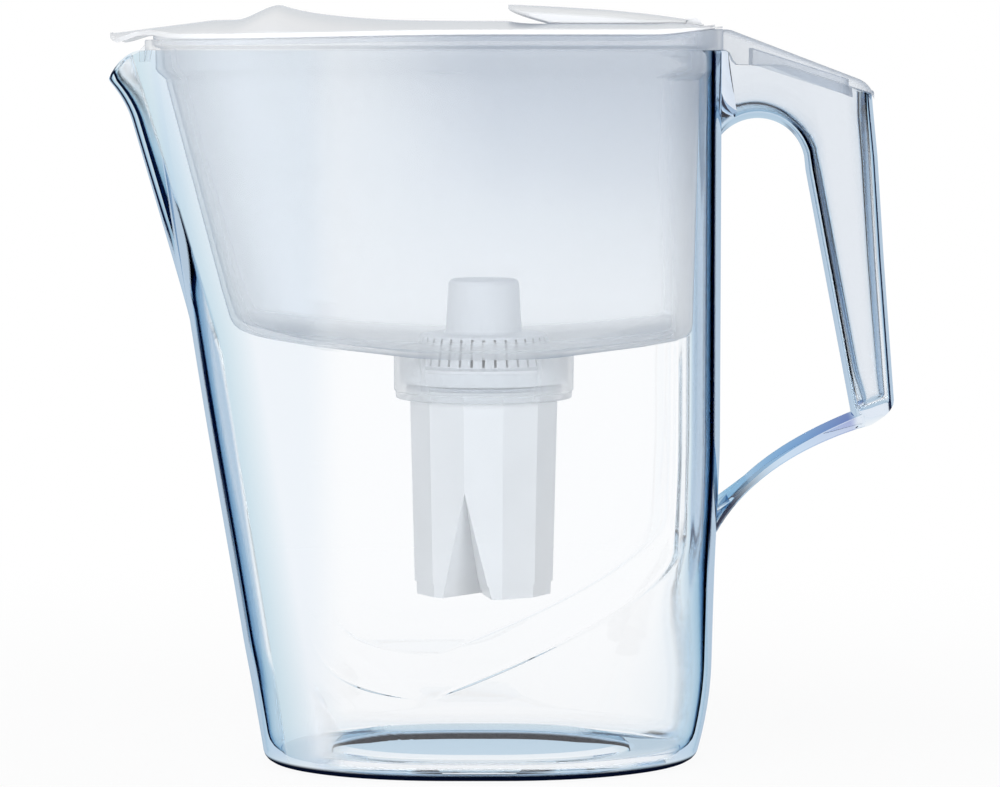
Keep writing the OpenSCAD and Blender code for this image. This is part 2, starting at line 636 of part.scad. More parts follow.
module cartridge_base_cap() {
    floor_th = 1.6;
    color(cool_white) at_axis() difference() {
        translate([0, 0, cartridge_z]) difference() {
            facets(0, shell_foot_r - 0.7, cap_top_z - cartridge_z - 0.05, shell_foot_r - 0.45);
            translate([0, 0, -cartridge_z]) notches(0.5);
        }
        for (ring = [[6.5, 6], [11.5, 9]], i = [0:ring[1] - 1]) rotate((i + 0.5) * 360 / ring[1])
            translate([ring[0], 0, cartridge_z - 1]) cylinder(r = 1, h = 20, $fn = 16);
        difference() {
            facets(cartridge_z + floor_th, shell_foot_r - 3, cap_top_z + 1, shell_foot_r - 3);
            notches(2.4);
        }
    }
}

module cartridge_head() {
    slot_w = 0.9;
    color(white_pp) at_axis() {
        difference() {
            rotate_extrude() polygon([
                [0, collar_top_z + 0.05], [25, collar_top_z + 0.05], [collar_r - 0.1, collar_top_z + 0.05],
                [collar_r - 0.1, collar_top_z + 1], [head_r + 1.6, collar_top_z + 1.6],
                [head_r, shoulder_z - 1.4], [head_r - 0.5, shoulder_z - 0.4], [head_r - 1.6, shoulder_z],
                [13.5, shoulder_z + 0.3], [12.9, shoulder_z + 1], [12.0, knob_top_z - 1.6],
                [11.5, knob_top_z - 0.5], [10.4, knob_top_z], [0, knob_top_z]]);
            // hollow dome
            translate([0, 0, collar_top_z - 1])
                cylinder(r1 = head_r - 0.8, r2 = head_r - 1.8, h = shoulder_z - collar_top_z - 0.8);
            translate([0, 0, collar_top_z])
                cylinder(r1 = 11.6, r2 = 10.2, h = knob_top_z - collar_top_z - 1.8);
            for (i = [0:slot_count - 1]) rotate(i * 360 / slot_count)
                translate([head_r - 4, -slot_w / 2, collar_top_z + 1.9]) cube([9, slot_w, 9.2]);
        }
    }
}

module cartridge_seal() {
    color(cool_white) at_axis() rotate_extrude() polygon([
        [neck_r - 0.75, 126.85], [neck_r - 0.2, 126.85], [neck_r + 0.1, 127.2], [neck_r - 0.1, 127.6],
        [neck_r + 0.1, 128], [neck_r - 0.2, 128.35], [neck_r - 0.75, 128.35]]);
}

bed_top_z = 126.85;
module filter_bed() {
    color([0.35, 0.35, 0.36]) at_axis() difference() {
        facets(cap_top_z + 1.6, shell_r(cap_top_z) - 1.9, bed_top_z, shell_r(127) - 1.9);
        notches(1.9);
    }
}

module upper_fleece() {
    color("white") at_axis() translate([0, 0, bed_top_z + 0.1]) cylinder(r = 22.8, h = 1.6);
}

module lower_fleece() {
    color("white") at_axis() difference() {
        facets(cap_top_z + 0.1, shell_r(cap_top_z) - 1.9, cap_top_z + 1.5, shell_r(cap_top_z) - 1.9);
        notches(1.9);
    }
}

jug();
funnel();
lid();
flip_flap();
flap_hinge_pin();
cartridge_head();
cartridge_seal();
cartridge_shell();
cartridge_base_cap();
filter_bed();
upper_fleece();
lower_fleece();
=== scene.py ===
import math

import bpy
import bmesh
import numpy as np
from mathutils import Matrix, Vector

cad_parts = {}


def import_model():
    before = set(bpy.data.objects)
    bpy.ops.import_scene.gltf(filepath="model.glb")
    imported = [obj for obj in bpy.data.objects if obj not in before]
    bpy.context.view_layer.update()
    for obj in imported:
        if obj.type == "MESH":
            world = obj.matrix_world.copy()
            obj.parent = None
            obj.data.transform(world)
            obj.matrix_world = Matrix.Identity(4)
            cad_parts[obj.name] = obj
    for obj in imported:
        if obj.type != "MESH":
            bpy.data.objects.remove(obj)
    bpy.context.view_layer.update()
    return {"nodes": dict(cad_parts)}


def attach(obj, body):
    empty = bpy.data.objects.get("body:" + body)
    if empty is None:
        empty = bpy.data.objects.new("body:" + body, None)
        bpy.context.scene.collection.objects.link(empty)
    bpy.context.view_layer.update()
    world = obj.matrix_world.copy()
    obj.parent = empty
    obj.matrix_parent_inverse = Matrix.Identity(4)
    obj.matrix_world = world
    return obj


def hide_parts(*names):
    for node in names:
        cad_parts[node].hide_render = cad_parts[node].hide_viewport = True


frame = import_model()

MM = 0.001

# ---------------------------------------------------------------- sizes, in millimetres
RIM_Z = 240.7
WALL = 2.4
HANDLE_WALL = 2.3
FUNNEL_WALL = 1.8
LIP_DROP = 10.0
MOUTH_HALF = 15.0
SPOUT_START_Z = 146.0
FRONT_LEAN = 0.16
PANEL_LOW_Z = 27.0
PANEL_HIGH_Z = 134.0
PANEL_DEPTH = 0.8
CREASE = 3.0
BASE_MID_X = -6.0
FOOT_R = 3.0
FLOOR_Z = 2.8
AXIS_X = -5.5
SEAT_Z = 128.8
SOCKET_R = 28.4
BAND_STEP_Z = 234.0
HINGE_X = 64.4
HINGE_Z = 248.6
PIN_R = 1.5
LEDGE_Z = 249.3
FLAP_LENGTH = 58.6


# ---------------------------------------------------------------- small maths
def mix(a, b, t):
    return a + (b - a) * t


def clamp(t):
    return np.clip(t, 0.0, 1.0)


def ease(t):
    u = clamp(t)
    return u * u * (3 - 2 * u)


def ramp(u, soft):
    return (u + np.sqrt(u * u + soft * soft)) / 2


def hump(u):
    return np.cos(np.pi / 2 * clamp(np.abs(u))) ** 2


# ---------------------------------------------------------------- outline of the jug at a height
def front_x(z):
    return -(80.3 + FRONT_LEAN * z)


def rear_x(z):
    return 74.2 - 1.4 * ease((112 - z) / 45) - 1.3 * clamp(1 - z / 72) - 4.8 * clamp(1 - z / 34) ** 2


def half_y(z):
    return mix(51.5, 54.5, z / RIM_Z)


def spout_reach(z):
    return 0.13 * ramp(z - SPOUT_START_Z, 8) + 4 * clamp((z - 217) / 14) ** 2


def spout_half(z):
    return mix(11, 20, clamp((z - SPOUT_START_Z) / 90))


def corner_front(z):
    return -16 - 52 * ease(z / 45) - 18 * ease((z - 40) / 95) + 4 * ease((z - 150) / 90)


def corner_rear(z):
    return 61 * ease(z / 82)


def panel_front(z):
    mid = mix(-8, -22.6, clamp(z / PANEL_LOW_Z))
    if z < PANEL_LOW_Z:
        return mid - 1.5
    return max(corner_front(z) + 1, min(mid - 1.5, front_x(z) + 15 + 46 / (1 + (z - PANEL_LOW_Z) / 4.5)))


def panel_rear(z):
    mid = mix(-8, -22.6, clamp(z / PANEL_LOW_Z))
    if z < PANEL_LOW_Z:
        return mid + 1.5
    return min(corner_rear(z) - 1, max(mid + 1.5, rear_x(z) - 14.5 - 80 * clamp((76 - z) / 49) ** 1.6))


def panel_dip(z):
    return PANEL_DEPTH * ease((z - PANEL_LOW_Z) / 8) * (1 - ease((z - PANEL_HIGH_Z) / 30))


def superellipse_half(xf, x0, x1, xr, w, nf, nr, side):
    """Half of a rounded outline from the middle of the front to the middle of the rear."""
    front, rear = 34, 26  # steps round the corners
    points = []
    for i in range(front + 1):
        t = math.pi / 2 * (i / front) ** 1.4
        points.append((x0 - (x0 - xf) * max(math.cos(t), 0) ** (2 / nf), w * math.sin(t) ** (2 / nf)))
    points += [(x, w - dip) for x, dip in side]
    for i in range(rear, -1, -1):
        t = math.pi / 2 * (i / rear) ** 1.3
        points.append((x1 + (xr - x1) * max(math.cos(t), 0) ** (2 / nr), w * math.sin(t) ** (2 / nr)))
    return np.array(points)


def jug_side(z):
    """Flat side of the jug with the shallow panel pressed into it, as (x, depth)."""
    p0, p1, dip = panel_front(z), panel_rear(z), panel_dip(z)
    step = min(CREASE, (p1 - p0) / 3.2)
    side = [(mix(corner_front(z), p0, k), 0) for k in (0.35, 0.7, 1)]
    side += [(p0 + step * k, dip * float(ease(k))) for k in (0.2, 0.4, 0.6, 0.8, 1)]
    side += [(mix(p0 + step, p1 - step, k), dip) for k in np.linspace(0.05, 0.95, 18)]
    side += [(p1 - step * k, dip * float(ease(k))) for k in (1, 0.8, 0.6, 0.4, 0.2, 0)]
    return side + [(mix(p1, corner_rear(z), k), 0) for k in (0.4, 0.8)]


def body_half(z, inset, foot):
    f = inset + foot
    n = clamp(z / 90)
    return superellipse_half(front_x(z) + f, corner_front(z), corner_rear(z), rear_x(z) - f, half_y(z) - f,
                             mix(2.15, 2.4, n), mix(2.05, 2.5, n), jug_side(z))


def spout_window(x, y, half):
    return np.where(x > 0, 0, hump(y / half))


def jug_half(z, inset, foot, drop):
    p = body_half(z, inset, foot)
    x, y = p[:, 0], p[:, 1]
    lip = drop * spout_window(x, y, MOUTH_HALF - inset * 0.5)
    zz = z - lip * max(z - 200, 0) / (RIM_Z - 200)
    shift = (spout_reach(zz) + FRONT_LEAN * (zz - z)) * spout_window(x, y, spout_half(zz) - inset * 0.6)
    return np.stack([x - shift, y, zz], axis=1)


def whole(half):
    """A closed ring from a half one."""
    back = half[-2:0:-1] * np.array([1, -1, 1])
    return np.concatenate([half, back])


def scaled_base(z, k):
    p = body_half(0, 0, FOOT_R)
    x = BASE_MID_X + (p[:, 0] - BASE_MID_X) * k
    return whole(np.stack([x, p[:, 1] * k, np.full(len(p), float(z))], axis=1))


def foot_inset(z, r):
    """How far the wall draws in at a height, where a foot of radius r rounds it."""
    return r - math.sqrt(r ** 2 - (r - z) ** 2) if z < r else 0


# ---------------------------------------------------------------- meshes
def new_object(name, verts, faces):
    mesh = bpy.data.meshes.new(name)
    mesh.from_pydata([Vector(v) * MM for v in verts], [], faces)
    mesh.validate()
    bm = bmesh.new()
    bm.from_mesh(mesh)
    bmesh.ops.recalc_face_normals(bm, faces=bm.faces)
    bm.to_mesh(mesh)
    bm.free()
    obj = bpy.data.objects.new(name, mesh)
    bpy.context.scene.collection.objects.link(obj)
    return obj


def loft(name, rings, low=None, high=None, closed=False):
    """A closed solid through rings of points, capped by a fan at each end or closed on itself."""
    rows, n = len(rings), len(rings[0])
    verts = [tuple(p) for ring in rings for p in ring]
    faces = []
    for r in range(rows if closed else rows - 1):
        s = (r + 1) % rows
        faces += [(r * n + c, r * n + (c + 1) % n, s * n + (c + 1) % n, s * n + c) for c in range(n)]
    if not closed:
        verts += [tuple(low), tuple(high)]
        k = (rows - 1) * n
        faces += [(rows * n, (c + 1) % n, c) for c in range(n)]
        faces += [(rows * n + 1, k + c, k + (c + 1) % n) for c in range(n)]
    return new_object(name, verts, faces)


def revolve(name, profile, segments=128):
    """A closed solid of revolution about the cartridge's axis from a closed (radius, height) profile."""
    turns = [2 * math.pi * i / segments for i in range(segments)]
    rings = [[(AXIS_X + r * math.cos(t), r * math.sin(t), z) for t in turns] for r, z in profile]
    return loft(name, rings, closed=True)


def prism(name, start, end):
    """A closed solid between two matching flat outlines of 3-D points."""
    n = len(start)
    faces = [tuple(range(n)), tuple(range(2 * n - 1, n - 1, -1))]
    faces += [(i, (i + 1) % n, n + (i + 1) % n, n + i) for i in range(n)]
    return new_object(name, start + end, faces)


def extrude(name, outline, z0, z1):
    """A prism over a closed outline of (x, y) points."""
    return prism(name, [(x, y, z0) for x, y in outline], [(x, y, z1) for x, y in outline])


def side_prism(name, outline, half):
    """A prism across the jug over a closed side view of (x, z) points."""
    return prism(name, [(x, -half, z) for x, z in outline], [(x, half, z) for x, z in outline])


def moved(obj, x=0, y=0, turn=0):
    """The object's mesh turned about +Z, in degrees, and then moved, in millimetres."""
    turned = Matrix.Rotation(math.radians(turn), 4, "Z")
    obj.data.transform(Matrix.Translation(Vector((x, y, 0)) * MM) @ turned)
    return obj


def over(x, side, mid_z):
    """Points across the jug at x, up one side of (y, z) points, over the middle and down the other."""
    return [(x, -y, z) for y, z in side] + [(x, 0, mid_z)] + [(x, y, z) for y, z in reversed(side)]


def combine(base, joins=(), cuts=(), meets=()):
    """base with joins added, cuts taken away and kept inside meets; the tools are used up."""
    for operation, tools in (("UNION", joins), ("DIFFERENCE", cuts), ("INTERSECT", meets)):
        for tool in tools:
            modifier = base.modifiers.new("shape", "BOOLEAN")
            modifier.operation = operation
            modifier.solver = "MANIFOLD"
            modifier.object = tool
            depsgraph = bpy.context.evaluated_depsgraph_get()
            mesh = bpy.data.meshes.new_from_object(base.evaluated_get(depsgraph))
            base.modifiers.clear()
            base.data = mesh
            bpy.data.objects.remove(tool)
    return base


def smooth(obj, angle=32):
    obj.data.shade_smooth()
    obj.data.set_sharp_from_angle(angle=math.radians(angle))
    return obj


# ---------------------------------------------------------------- jug
# Heights of the wall's rows, closest where the panel's lower crease curves
FOOT_ROWS = [9, 13, 18, 23]
WALL_ROWS = [*np.linspace(27, 40, 22), *np.linspace(41.5, 62, 15), *np.linspace(65, 134, 26),
             *np.linspace(139, 200, 18), *np.linspace(204, 236, 13)]
INNER_LIP_DROP = LIP_DROP - 3.6
INNER_FOOT_R = 6


def jug_outside():
    rows = [2.0, FOOT_R, 6] + FOOT_ROWS + WALL_ROWS + [238.6, 239.9]
    rings = [scaled_base(3, 0.72), scaled_base(0.4, 0.728), scaled_base(0, 0.74), scaled_base(0, 0.85),
             scaled_base(0, 1)]
    rings += [whole(jug_half(z, 0, foot_inset(z, FOOT_R), LIP_DROP)) for z in [0.3, 1] + rows]
    rings += [whole(jug_half(RIM_Z, inset, 0, drop))
              for inset, drop in ((0.35, LIP_DROP * 0.97), (WALL + 1, INNER_LIP_DROP))]
    return loft("jug", rings, (BASE_MID_X, 0, 3.2), (-20, 0, RIM_Z))


def jug_inside():
    rows = [3.3, 4.2, 5.4, 7] + FOOT_ROWS + WALL_ROWS + [239.4]
    base = body_half(FLOOR_Z, WALL, INNER_FOOT_R * 0.62)
    rim = jug_half(RIM_Z, WALL - 0.3, 0, INNER_LIP_DROP)
    rings = [scaled_base(FLOOR_Z + 3, 0.7), scaled_base(FLOOR_Z + 0.3, 0.735), scaled_base(FLOOR_Z, 0.75),
             scaled_base(FLOOR_Z, 0.88), at_z(base, FLOOR_Z)]
    for z in rows:
        foot = foot_inset(max(0, z - FLOOR_Z), INNER_FOOT_R)
        rings.append(whole(jug_half(z, WALL, foot, INNER_LIP_DROP)))
    above = 30
    rings += [whole(rim), whole(rim + np.array([0, 0, above]))]
    return loft("jug_inside", rings, (BASE_MID_X, 0, FLOOR_Z + 3.2), (-20, 0, RIM_Z + above))


FINGER_MID = np.array([87, 201.6])
FINGER_R = 16.3


def grip_out(z):
    return 125.4 + 0.0795 * (225.4 - z)


def grip_in(z):
    return 103.3 + 0.193 * (201 - z)


def slope_z(x):
    return 235.5 - 0.32 * (x - 95)


def arch(degrees):
    a = math.radians(degrees)
    return FINGER_MID + FINGER_R * np.array([math.cos(a), math.sin(a)])


def grip_half(z):
    return mix(12, 14.5, clamp((z - 115) / 95))


# Outer end and half width of the ribs over the finger arch, by the arch's angle: (x, z, half width)
ARCH_OUTER = {150: (68, slope_z(95) + 12, 17),
              50: (107, slope_z(107) + 12, 15),
              36: (117, slope_z(117) + 12, 14.9),
              24: (grip_out(237), 237, 14.8),
              12: (grip_out(222), 222, 14.7)}


def arch_rib(a):
    """A rib is (point on the finger side, point on the outer side, half width)."""
    keys = sorted(ARCH_OUTER)
    x, z, h = (np.interp(a, keys, [ARCH_OUTER[k][i] for k in keys]) for i in range(3))
    return arch(a), np.array([x, z]), h


def grip_rib(z):
    return np.array([grip_in(z), z]), np.array([grip_out(z), z + 5 * clamp((z - 170) / 30)]), grip_half(z)


def rib_ring(rib, wall, count=56):
    """A rounded oblong round a rib, drawn in by a wall."""
    a, b, half = rib
    u = (b - a) / np.linalg.norm(b - a)
    a, b, h = a + u * wall, b - u * wall, half - wall
    power = 2 / 2.7  # fuller than an ellipse
    ring = []
    for i in range(count):
        t = 2 * math.pi * i / count
        c, s = math.cos(t), math.sin(t)
        k = (1 + math.copysign(abs(c) ** power, c)) / 2
        p = a + (b - a) * k
        ring.append((p[0], h * math.copysign(abs(s) ** power, s), p[1]))
    return ring


def rib_loft(name, ribs, wall):
    ends = [(x, 0, z) for x, z in ((ribs[i][0] + ribs[i][1]) / 2 for i in (0, -1))]
    return loft(name, [rib_ring(r, wall) for r in ribs], *ends)


# Top of the handle behind the rim, over which the funnel's tail lies, in the side view
TAIL_SEAT = [(75.3, RIM_Z - 0.2), (76, RIM_Z - 0.2), (77.2, 237.2), (79, 235.5), (95, 235.5)]


def handle():
    """Outside and cavity of the hollow handle."""
    wide = 40  # half width of the cutting prisms, beyond the handle's
    hood = 8.0  # how far the cavity's ribs reach above the outside, so that its top is open
    arch_angles = list(np.linspace(150, 12, 36))
    ribs = [arch_rib(a) for a in arch_angles] + [grip_rib(z) for z in np.linspace(200, 108, 40)]
    outside = rib_loft("handle", ribs, 0)
    top = [(0, RIM_Z - 0.2)] + TAIL_SEAT + [(128, slope_z(128)), (160, 214.7), (160, 320), (0, 320)]
    end = [(108, 108), (118.5, 112.4), (125.2, 114.9), (127.4, 116.3), (129.6, 117.8), (131.4, 119.4),
           (132.9, 121.3), (133.3, 122.7), (134.5, 140), (150, 140), (150, 90), (108, 90)]
    outside = combine(outside, cuts=[side_prism("cut", top, wide), side_prism("cut", end, wide)])
    ribs = []
    for a in arch_angles:
        low, high, half = arch_rib(a)
        lift = hood * clamp((a - 12) / 38) if a < 50 else hood
        ribs.append((low, high + np.array([0, lift]), half))
    ribs += [grip_rib(z) for z in np.linspace(200, 133, 30)]
    # the cavity's lower end is rounded over the slanted end wall
    low_end = np.array([120, 118])
    high_end = np.array([133.5, 123.8])
    for k in np.linspace(0.1, 1, 12):
        a = mix(np.array([grip_in(132), 132]), low_end, k)
        b = mix(np.array([grip_out(132), 132]), high_end, k)
        share = 1 - 0.35 * clamp((k - 0.6) / 0.4) ** 3
        ribs.append((a, b, HANDLE_WALL + (grip_half(132 - 9 * k) - HANDLE_WALL) * share))
    inside = rib_loft("handle_inside", ribs, HANDLE_WALL)
    keep = [(76.4, 260), (76.4, 238), (80.6, 209), (100, 90), (150, 90), (150, 260)]
    inside = combine(inside, meets=[side_prism("keep", keep, wide)])
    return outside, inside


def bezier(p, q, r, t):
    return (1 - t) ** 2 * np.array(p) + 2 * t * (1 - t) * np.array(q) + t * t * np.array(r)


def flat_bar(name, path, thickness, half):
    """A bar across the handle that follows a side view path, with small round edges."""
    r = 0.45
    rings = []
    for i, p in enumerate(path):
        d = path[min(i + 1, len(path) - 1)] - path[max(i - 1, 0)]
        normal = np.array([-d[1], d[0]]) / np.linalg.norm(d)
        th, w = thickness[i] / 2, half[i]
        corners = ((w - r, th - r, 0), (-w + r, th - r, 90), (-w + r, -th + r, 180), (w - r, -th + r, 270))
        ring = []
        for cy, co, start in corners:
            for a in (0, 22.5, 45, 67.5, 90):
                t = math.radians(start + a)
                off = co + r * math.sin(t)
                ring.append((p[0] + normal[0] * off, cy + r * math.cos(t), p[1] + normal[1] * off))
        rings.append(ring)
    return loft(name, rings, (path[0][0], 0, path[0][1]), (path[-1][0], 0, path[-1][1]))


# Ends and bend of the strap in the side view
STRAP_PATH = [(123, 116.4), (85.9, 103.4), (72.3, 79.2)]


def strap():
    """The thin strap below the grip, which forks into two legs before the rear wall."""
    ts = np.linspace(0, 1, 36)
    main = flat_bar("strap", [bezier(*STRAP_PATH, t) for t in ts],
                    [2 + 2.2 * (1 - t) ** 3 - 0.2 * t for t in ts], [mix(11, 14, t) for t in ts])
    start = bezier(*STRAP_PATH, 0.62)
    bend = start + np.array([-5, -3.8])
    leg = [bezier(start, bend, (73.0, 86.2), t) for t in np.linspace(0, 1, 12)]
    return [main, flat_bar("upper_leg", leg, [1.6] * len(leg), [12.6] * len(leg))]


def build_jug():
    body = jug_outside()
    outside, inside = handle()
    shell = combine(outside, cuts=[inside])
    body = combine(body, joins=[shell] + strap(), cuts=[jug_inside()])
    return smooth(body)


# ---------------------------------------------------------------- funnel
def dish_z(x):
    return 141.2 + 7.1 * ((x + 7) / 84) ** 2


def funnel_front(z):
    return -(90.8 + 0.262 * (z - 148.6))


def funnel_rear(z):
    return mix(66.5, 70, clamp((z - 148) / 85))


def funnel_half(z):
    return mix(46.5, 50, clamp((z - 143) / 90))


def edge_z(x):
    """Top edge of the funnel's band, on which the lid lies."""
    return 244.3 + 1.4 * ease((x + 105) / 105) + 2.2 * ease((x - 50) / 25)


def plain_side(x0, x1):
    return [(mix(x0, x1, k), 0) for k in np.linspace(0.06, 0.94, 16)]


def funnel_outline(z, inset):
    k = clamp((z - 148) / 90)
    x0, x1 = funnel_front(z) + mix(24, 33, k), funnel_rear(z) - mix(14, 19, k)
    return superellipse_half(funnel_front(z) + inset, x0, x1, funnel_rear(z) - inset, funnel_half(z) - inset,
                             2.4, 2.5, plain_side(x0, x1))


def band_outline(inset):
    x0, x1 = corner_front(RIM_Z), corner_rear(RIM_Z)
    return superellipse_half(front_x(RIM_Z) - 0.4 + inset, x0, x1, 74.7 - inset, 54.9 - inset, 2.4, 2.5,
                             plain_side(x0, x1))


def at_z(outline, z):
    return whole(np.stack([outline[:, 0], outline[:, 1], np.full(len(outline), float(z))], axis=1))


def at_dish(outline, lift):
    return whole(np.stack([outline[:, 0], outline[:, 1], dish_z(outline[:, 0]) + lift], axis=1))


def at_edge(outline, lift):
    return whole(np.stack([outline[:, 0], outline[:, 1], edge_z(outline[:, 0]) + lift], axis=1))


def socket_ring(r, z):
    o = funnel_outline(148, 6)
    d = o - np.array([AXIS_X, 0])
    c = d / np.linalg.norm(d, axis=1)[:, None] * r
    return whole(np.stack([AXIS_X + c[:, 0], c[:, 1], np.full(len(o), float(z))], axis=1))


def floor_ring(k, r, z, lift):
    return mix(socket_ring(r, z), at_dish(funnel_outline(148, 6), lift), k)


FUNNEL_FLOOR_Z = 138
COLLAR_R = SOCKET_R + 1.2
# Rows where the dish turns up into the wall: (height of the outline, inset, height over the dish)
OUTER_TURN = [(148, 3.2, 0), (148.5, 1.8, 0.4), (149, 0.9, 1.1), (150, 0.3, 2.2), (151, 0, 3.6)]
INNER_TURN = [(151, 0, 4.6), (150, 0.7, 3.5), (149, 1.6, 2.8)]
# Rows of the band round the rim: (inset, height)
OUTER_BAND = [(4.2, 233.4), (3.6, BAND_STEP_Z + 0.4), (3.5, RIM_Z + 0.05), (0.3, RIM_Z + 0.05),
              (0.05, RIM_Z + 0.35), (0, RIM_Z + 0.8)]
INNER_BAND = [(2.4, RIM_Z + 1.6), (3.5 + FUNNEL_WALL, RIM_Z + 0.4), (4.1 + FUNNEL_WALL, BAND_STEP_Z + 1)]


def funnel_shell():
    """The funnel's dish, wall and band, up the outside and down the inside."""
    shares = (0.2, 0.4, 0.6, 0.8)
    top_z = FUNNEL_FLOOR_Z + FUNNEL_WALL
    outer = [socket_ring(COLLAR_R, FUNNEL_FLOOR_Z)]
    outer += [floor_ring(k, COLLAR_R, FUNNEL_FLOOR_Z, -0.6) for k in shares]
    outer += [at_dish(funnel_outline(z, inset), lift) for z, inset, lift in OUTER_TURN]
    outer += [at_z(funnel_outline(z, 0), z) for z in np.linspace(160, 228, 12)]
    outer += [at_z(funnel_outline(231, 0.1), 231)]
    outer += [at_z(band_outline(inset), z) for inset, z in OUTER_BAND]
    outer += [at_edge(band_outline(0), -0.5), at_edge(band_outline(0.3), -0.1)]
    inner = [at_edge(band_outline(1.9), -0.05), at_edge(band_outline(2.2), -0.4)]
    inner += [at_z(band_outline(inset), z) for inset, z in INNER_BAND]
    inner += [at_z(funnel_outline(z, FUNNEL_WALL), z) for z in np.linspace(231, 160, 12)]
    inner += [at_dish(funnel_outline(z, FUNNEL_WALL + inset), lift) for z, inset, lift in INNER_TURN]
    inner += [floor_ring(k, COLLAR_R, top_z, FUNNEL_WALL - 0.4) for k in reversed(shares)]
    inner += [socket_ring(COLLAR_R, top_z)]
    return loft("funnel", outer + inner, closed=True)


def socket():
    r = SOCKET_R
    profile = [(r - 2.1, 123.9), (r - 1.8, 123.4), (r + 1.1, 123.4), (r + 1.4, 123.7), (r + 1.5, 125.6),
               (r + 2, 126.2), (r + 2.05, 132), (r + 2.1, 140.3), (r, 140.3), (r, SEAT_Z), (r - 2.1, SEAT_Z)]
    return revolve("socket", profile)


def tail_top(x):
    return 247.7 - 0.38 * max(0, x - 77.2) - 3.4 * (max(0, x - 121) / 5.2) ** 2


def tail_low(x):
    """Underside of the tail, a small gap above its seat."""
    gap = 0.25
    line = [(70, RIM_Z + 0.2)] + [(px + gap, pz + gap) for px, pz in TAIL_SEAT] + [(130, slope_z(130) + gap)]
    return np.interp(x, *zip(*line))


def tail_half(x):
    """Half width of the tail, which narrows to a rounded end."""
    end = 1 if x < 116 else (1 - clamp((x - 116) / 10.3) ** 2.6) ** (1 / 2.6)
    return mix(16.6, 14.7, clamp((x - 74) / 40)) * end


def tail():
    r = 2.2  # radius of the tail's upper edges
    stations = [73.4, 75, 76.6, 77.8, 79, 80, 81, 83, 86, 90, 95, 100, 105, 110, 114, 117, 119, 121, 122.5,
                123.8, 124.8, 125.4, 125.7]
    rings = []
    for x in stations:
        h, top, low = max(2.5, tail_half(x)), tail_top(x), tail_low(x)
        right = [(h * 0.5, low), (h - 0.5, low), (h - 0.15, low + 0.15), (h, low + 0.5),
                 (h, mix(low, top - r, 0.5)), (h, top - r)]
        for a in (15, 30, 45, 60, 75, 90):
            a = math.radians(a)
            right.append((h - r + r * math.cos(a), top - r + r * math.sin(a) * 0.8))
        right += [(h * 0.55, top - 0.16), (h * 0.28, top - 0.04)]
        rings.append([(x, 0, low)] + over(x, right, top))
    return loft("tail", rings, (73.4, 0, 245), (125.8, 0, 227.3))


# Two shallow recesses in line along each flank of the tail, as (x, z)
FLANK_RECESSES = [
    [(88.6, 239.9), (90, 240.5), (103.8, 236.3), (104.3, 233.9), (103.4, 233.4), (89.6, 239)],
    [(105.7, 233.3), (105.9, 235.4), (116.8, 231.1), (119.4, 229.4), (119.2, 228.9), (106.4, 232.7)],
]


def plug_plan(inset):
    """Plan of the plug below the tail, which sits in the open top of the handle."""
    tip = 118.8
    side = [(83, 12.9), (95, 12.7), (107, 11.9), (113, 11.4), (115, 10.6), (116.5, 9.6), (117.6, 8.1),
            (118.2, 6.5), (tip, 3)]
    side = [(min(x, tip - inset) + (inset if x < 84 else 0), y - min(inset, y - 1)) for x, y in side]
    return side + [(x, -y) for x, y in reversed(side)]


def tail_plug(name, inset, low, high):
    band = [(x, slope_z(x) + lift) for x, lift in ((80, low), (125, low), (125, high), (80, high))]
    return combine(extrude(name, plug_plan(inset), 200, 260), meets=[side_prism("slope", band, 30)])


def flank_cuts():
    mid_x = 97
    cuts = []
    for side in (-1, 1):
        for outline in FLANK_RECESSES:
            cut = side_prism("recess", [(x - mid_x, z) for x, z in outline], 1.5)
            cuts.append(moved(cut, mid_x, side * 16.9, turn=-side * 2.4))
    return cuts


def mouth_tabs():
    """Two small tabs that centre the funnel's band in the mouth of the spout."""
    outline = [(-120.7, 236.8), (-119, 236.8), (-118.1, 241.2), (-118.1, 242.4), (-119.1, 242.4),
               (-120.9, 240.3)]
    return [moved(side_prism("tab", outline, 1.2), y=side * 9.6) for side in (-1, 1)]


def build_funnel():
    bore_r = SOCKET_R + 0.7
    bore = revolve("bore", [(0.01, 130), (bore_r, 130), (bore_r, 150), (0.01, 150)])
    shell = combine(funnel_shell(), cuts=[bore])
    joins = [socket(), tail(), tail_plug("plug", 0, -3, 1.5)] + mouth_tabs()
    cuts = [tail_plug("hollow", 1.6, -4, 2.6)] + flank_cuts()
    return smooth(combine(shell, joins=joins, cuts=cuts), 35)


# ---------------------------------------------------------------- lid
NOSE_X = -131.2
CREST_X = -73.6
CREST_Z = 256
FLAP_X = 2.8
FLAP_SPAN = 64
FLAP_REAR_X = FLAP_X + FLAP_SPAN
FLAP_HALF = 36
LID_TH = 1.8
LUG_Y = 17.6
BORE_R = PIN_R + 0.05
# Half width of the nose over the spout, as (x, half width)
NOSE = [(NOSE_X, 0), (-130.9, 6), (-130.3, 10.5), (-129.1, 14.5), (-127.2, 18), (-123.8, 21.5), (-120.8, 24),
        (-118.8, 26), (-116.8, 28.6), (-114.8, 31)]
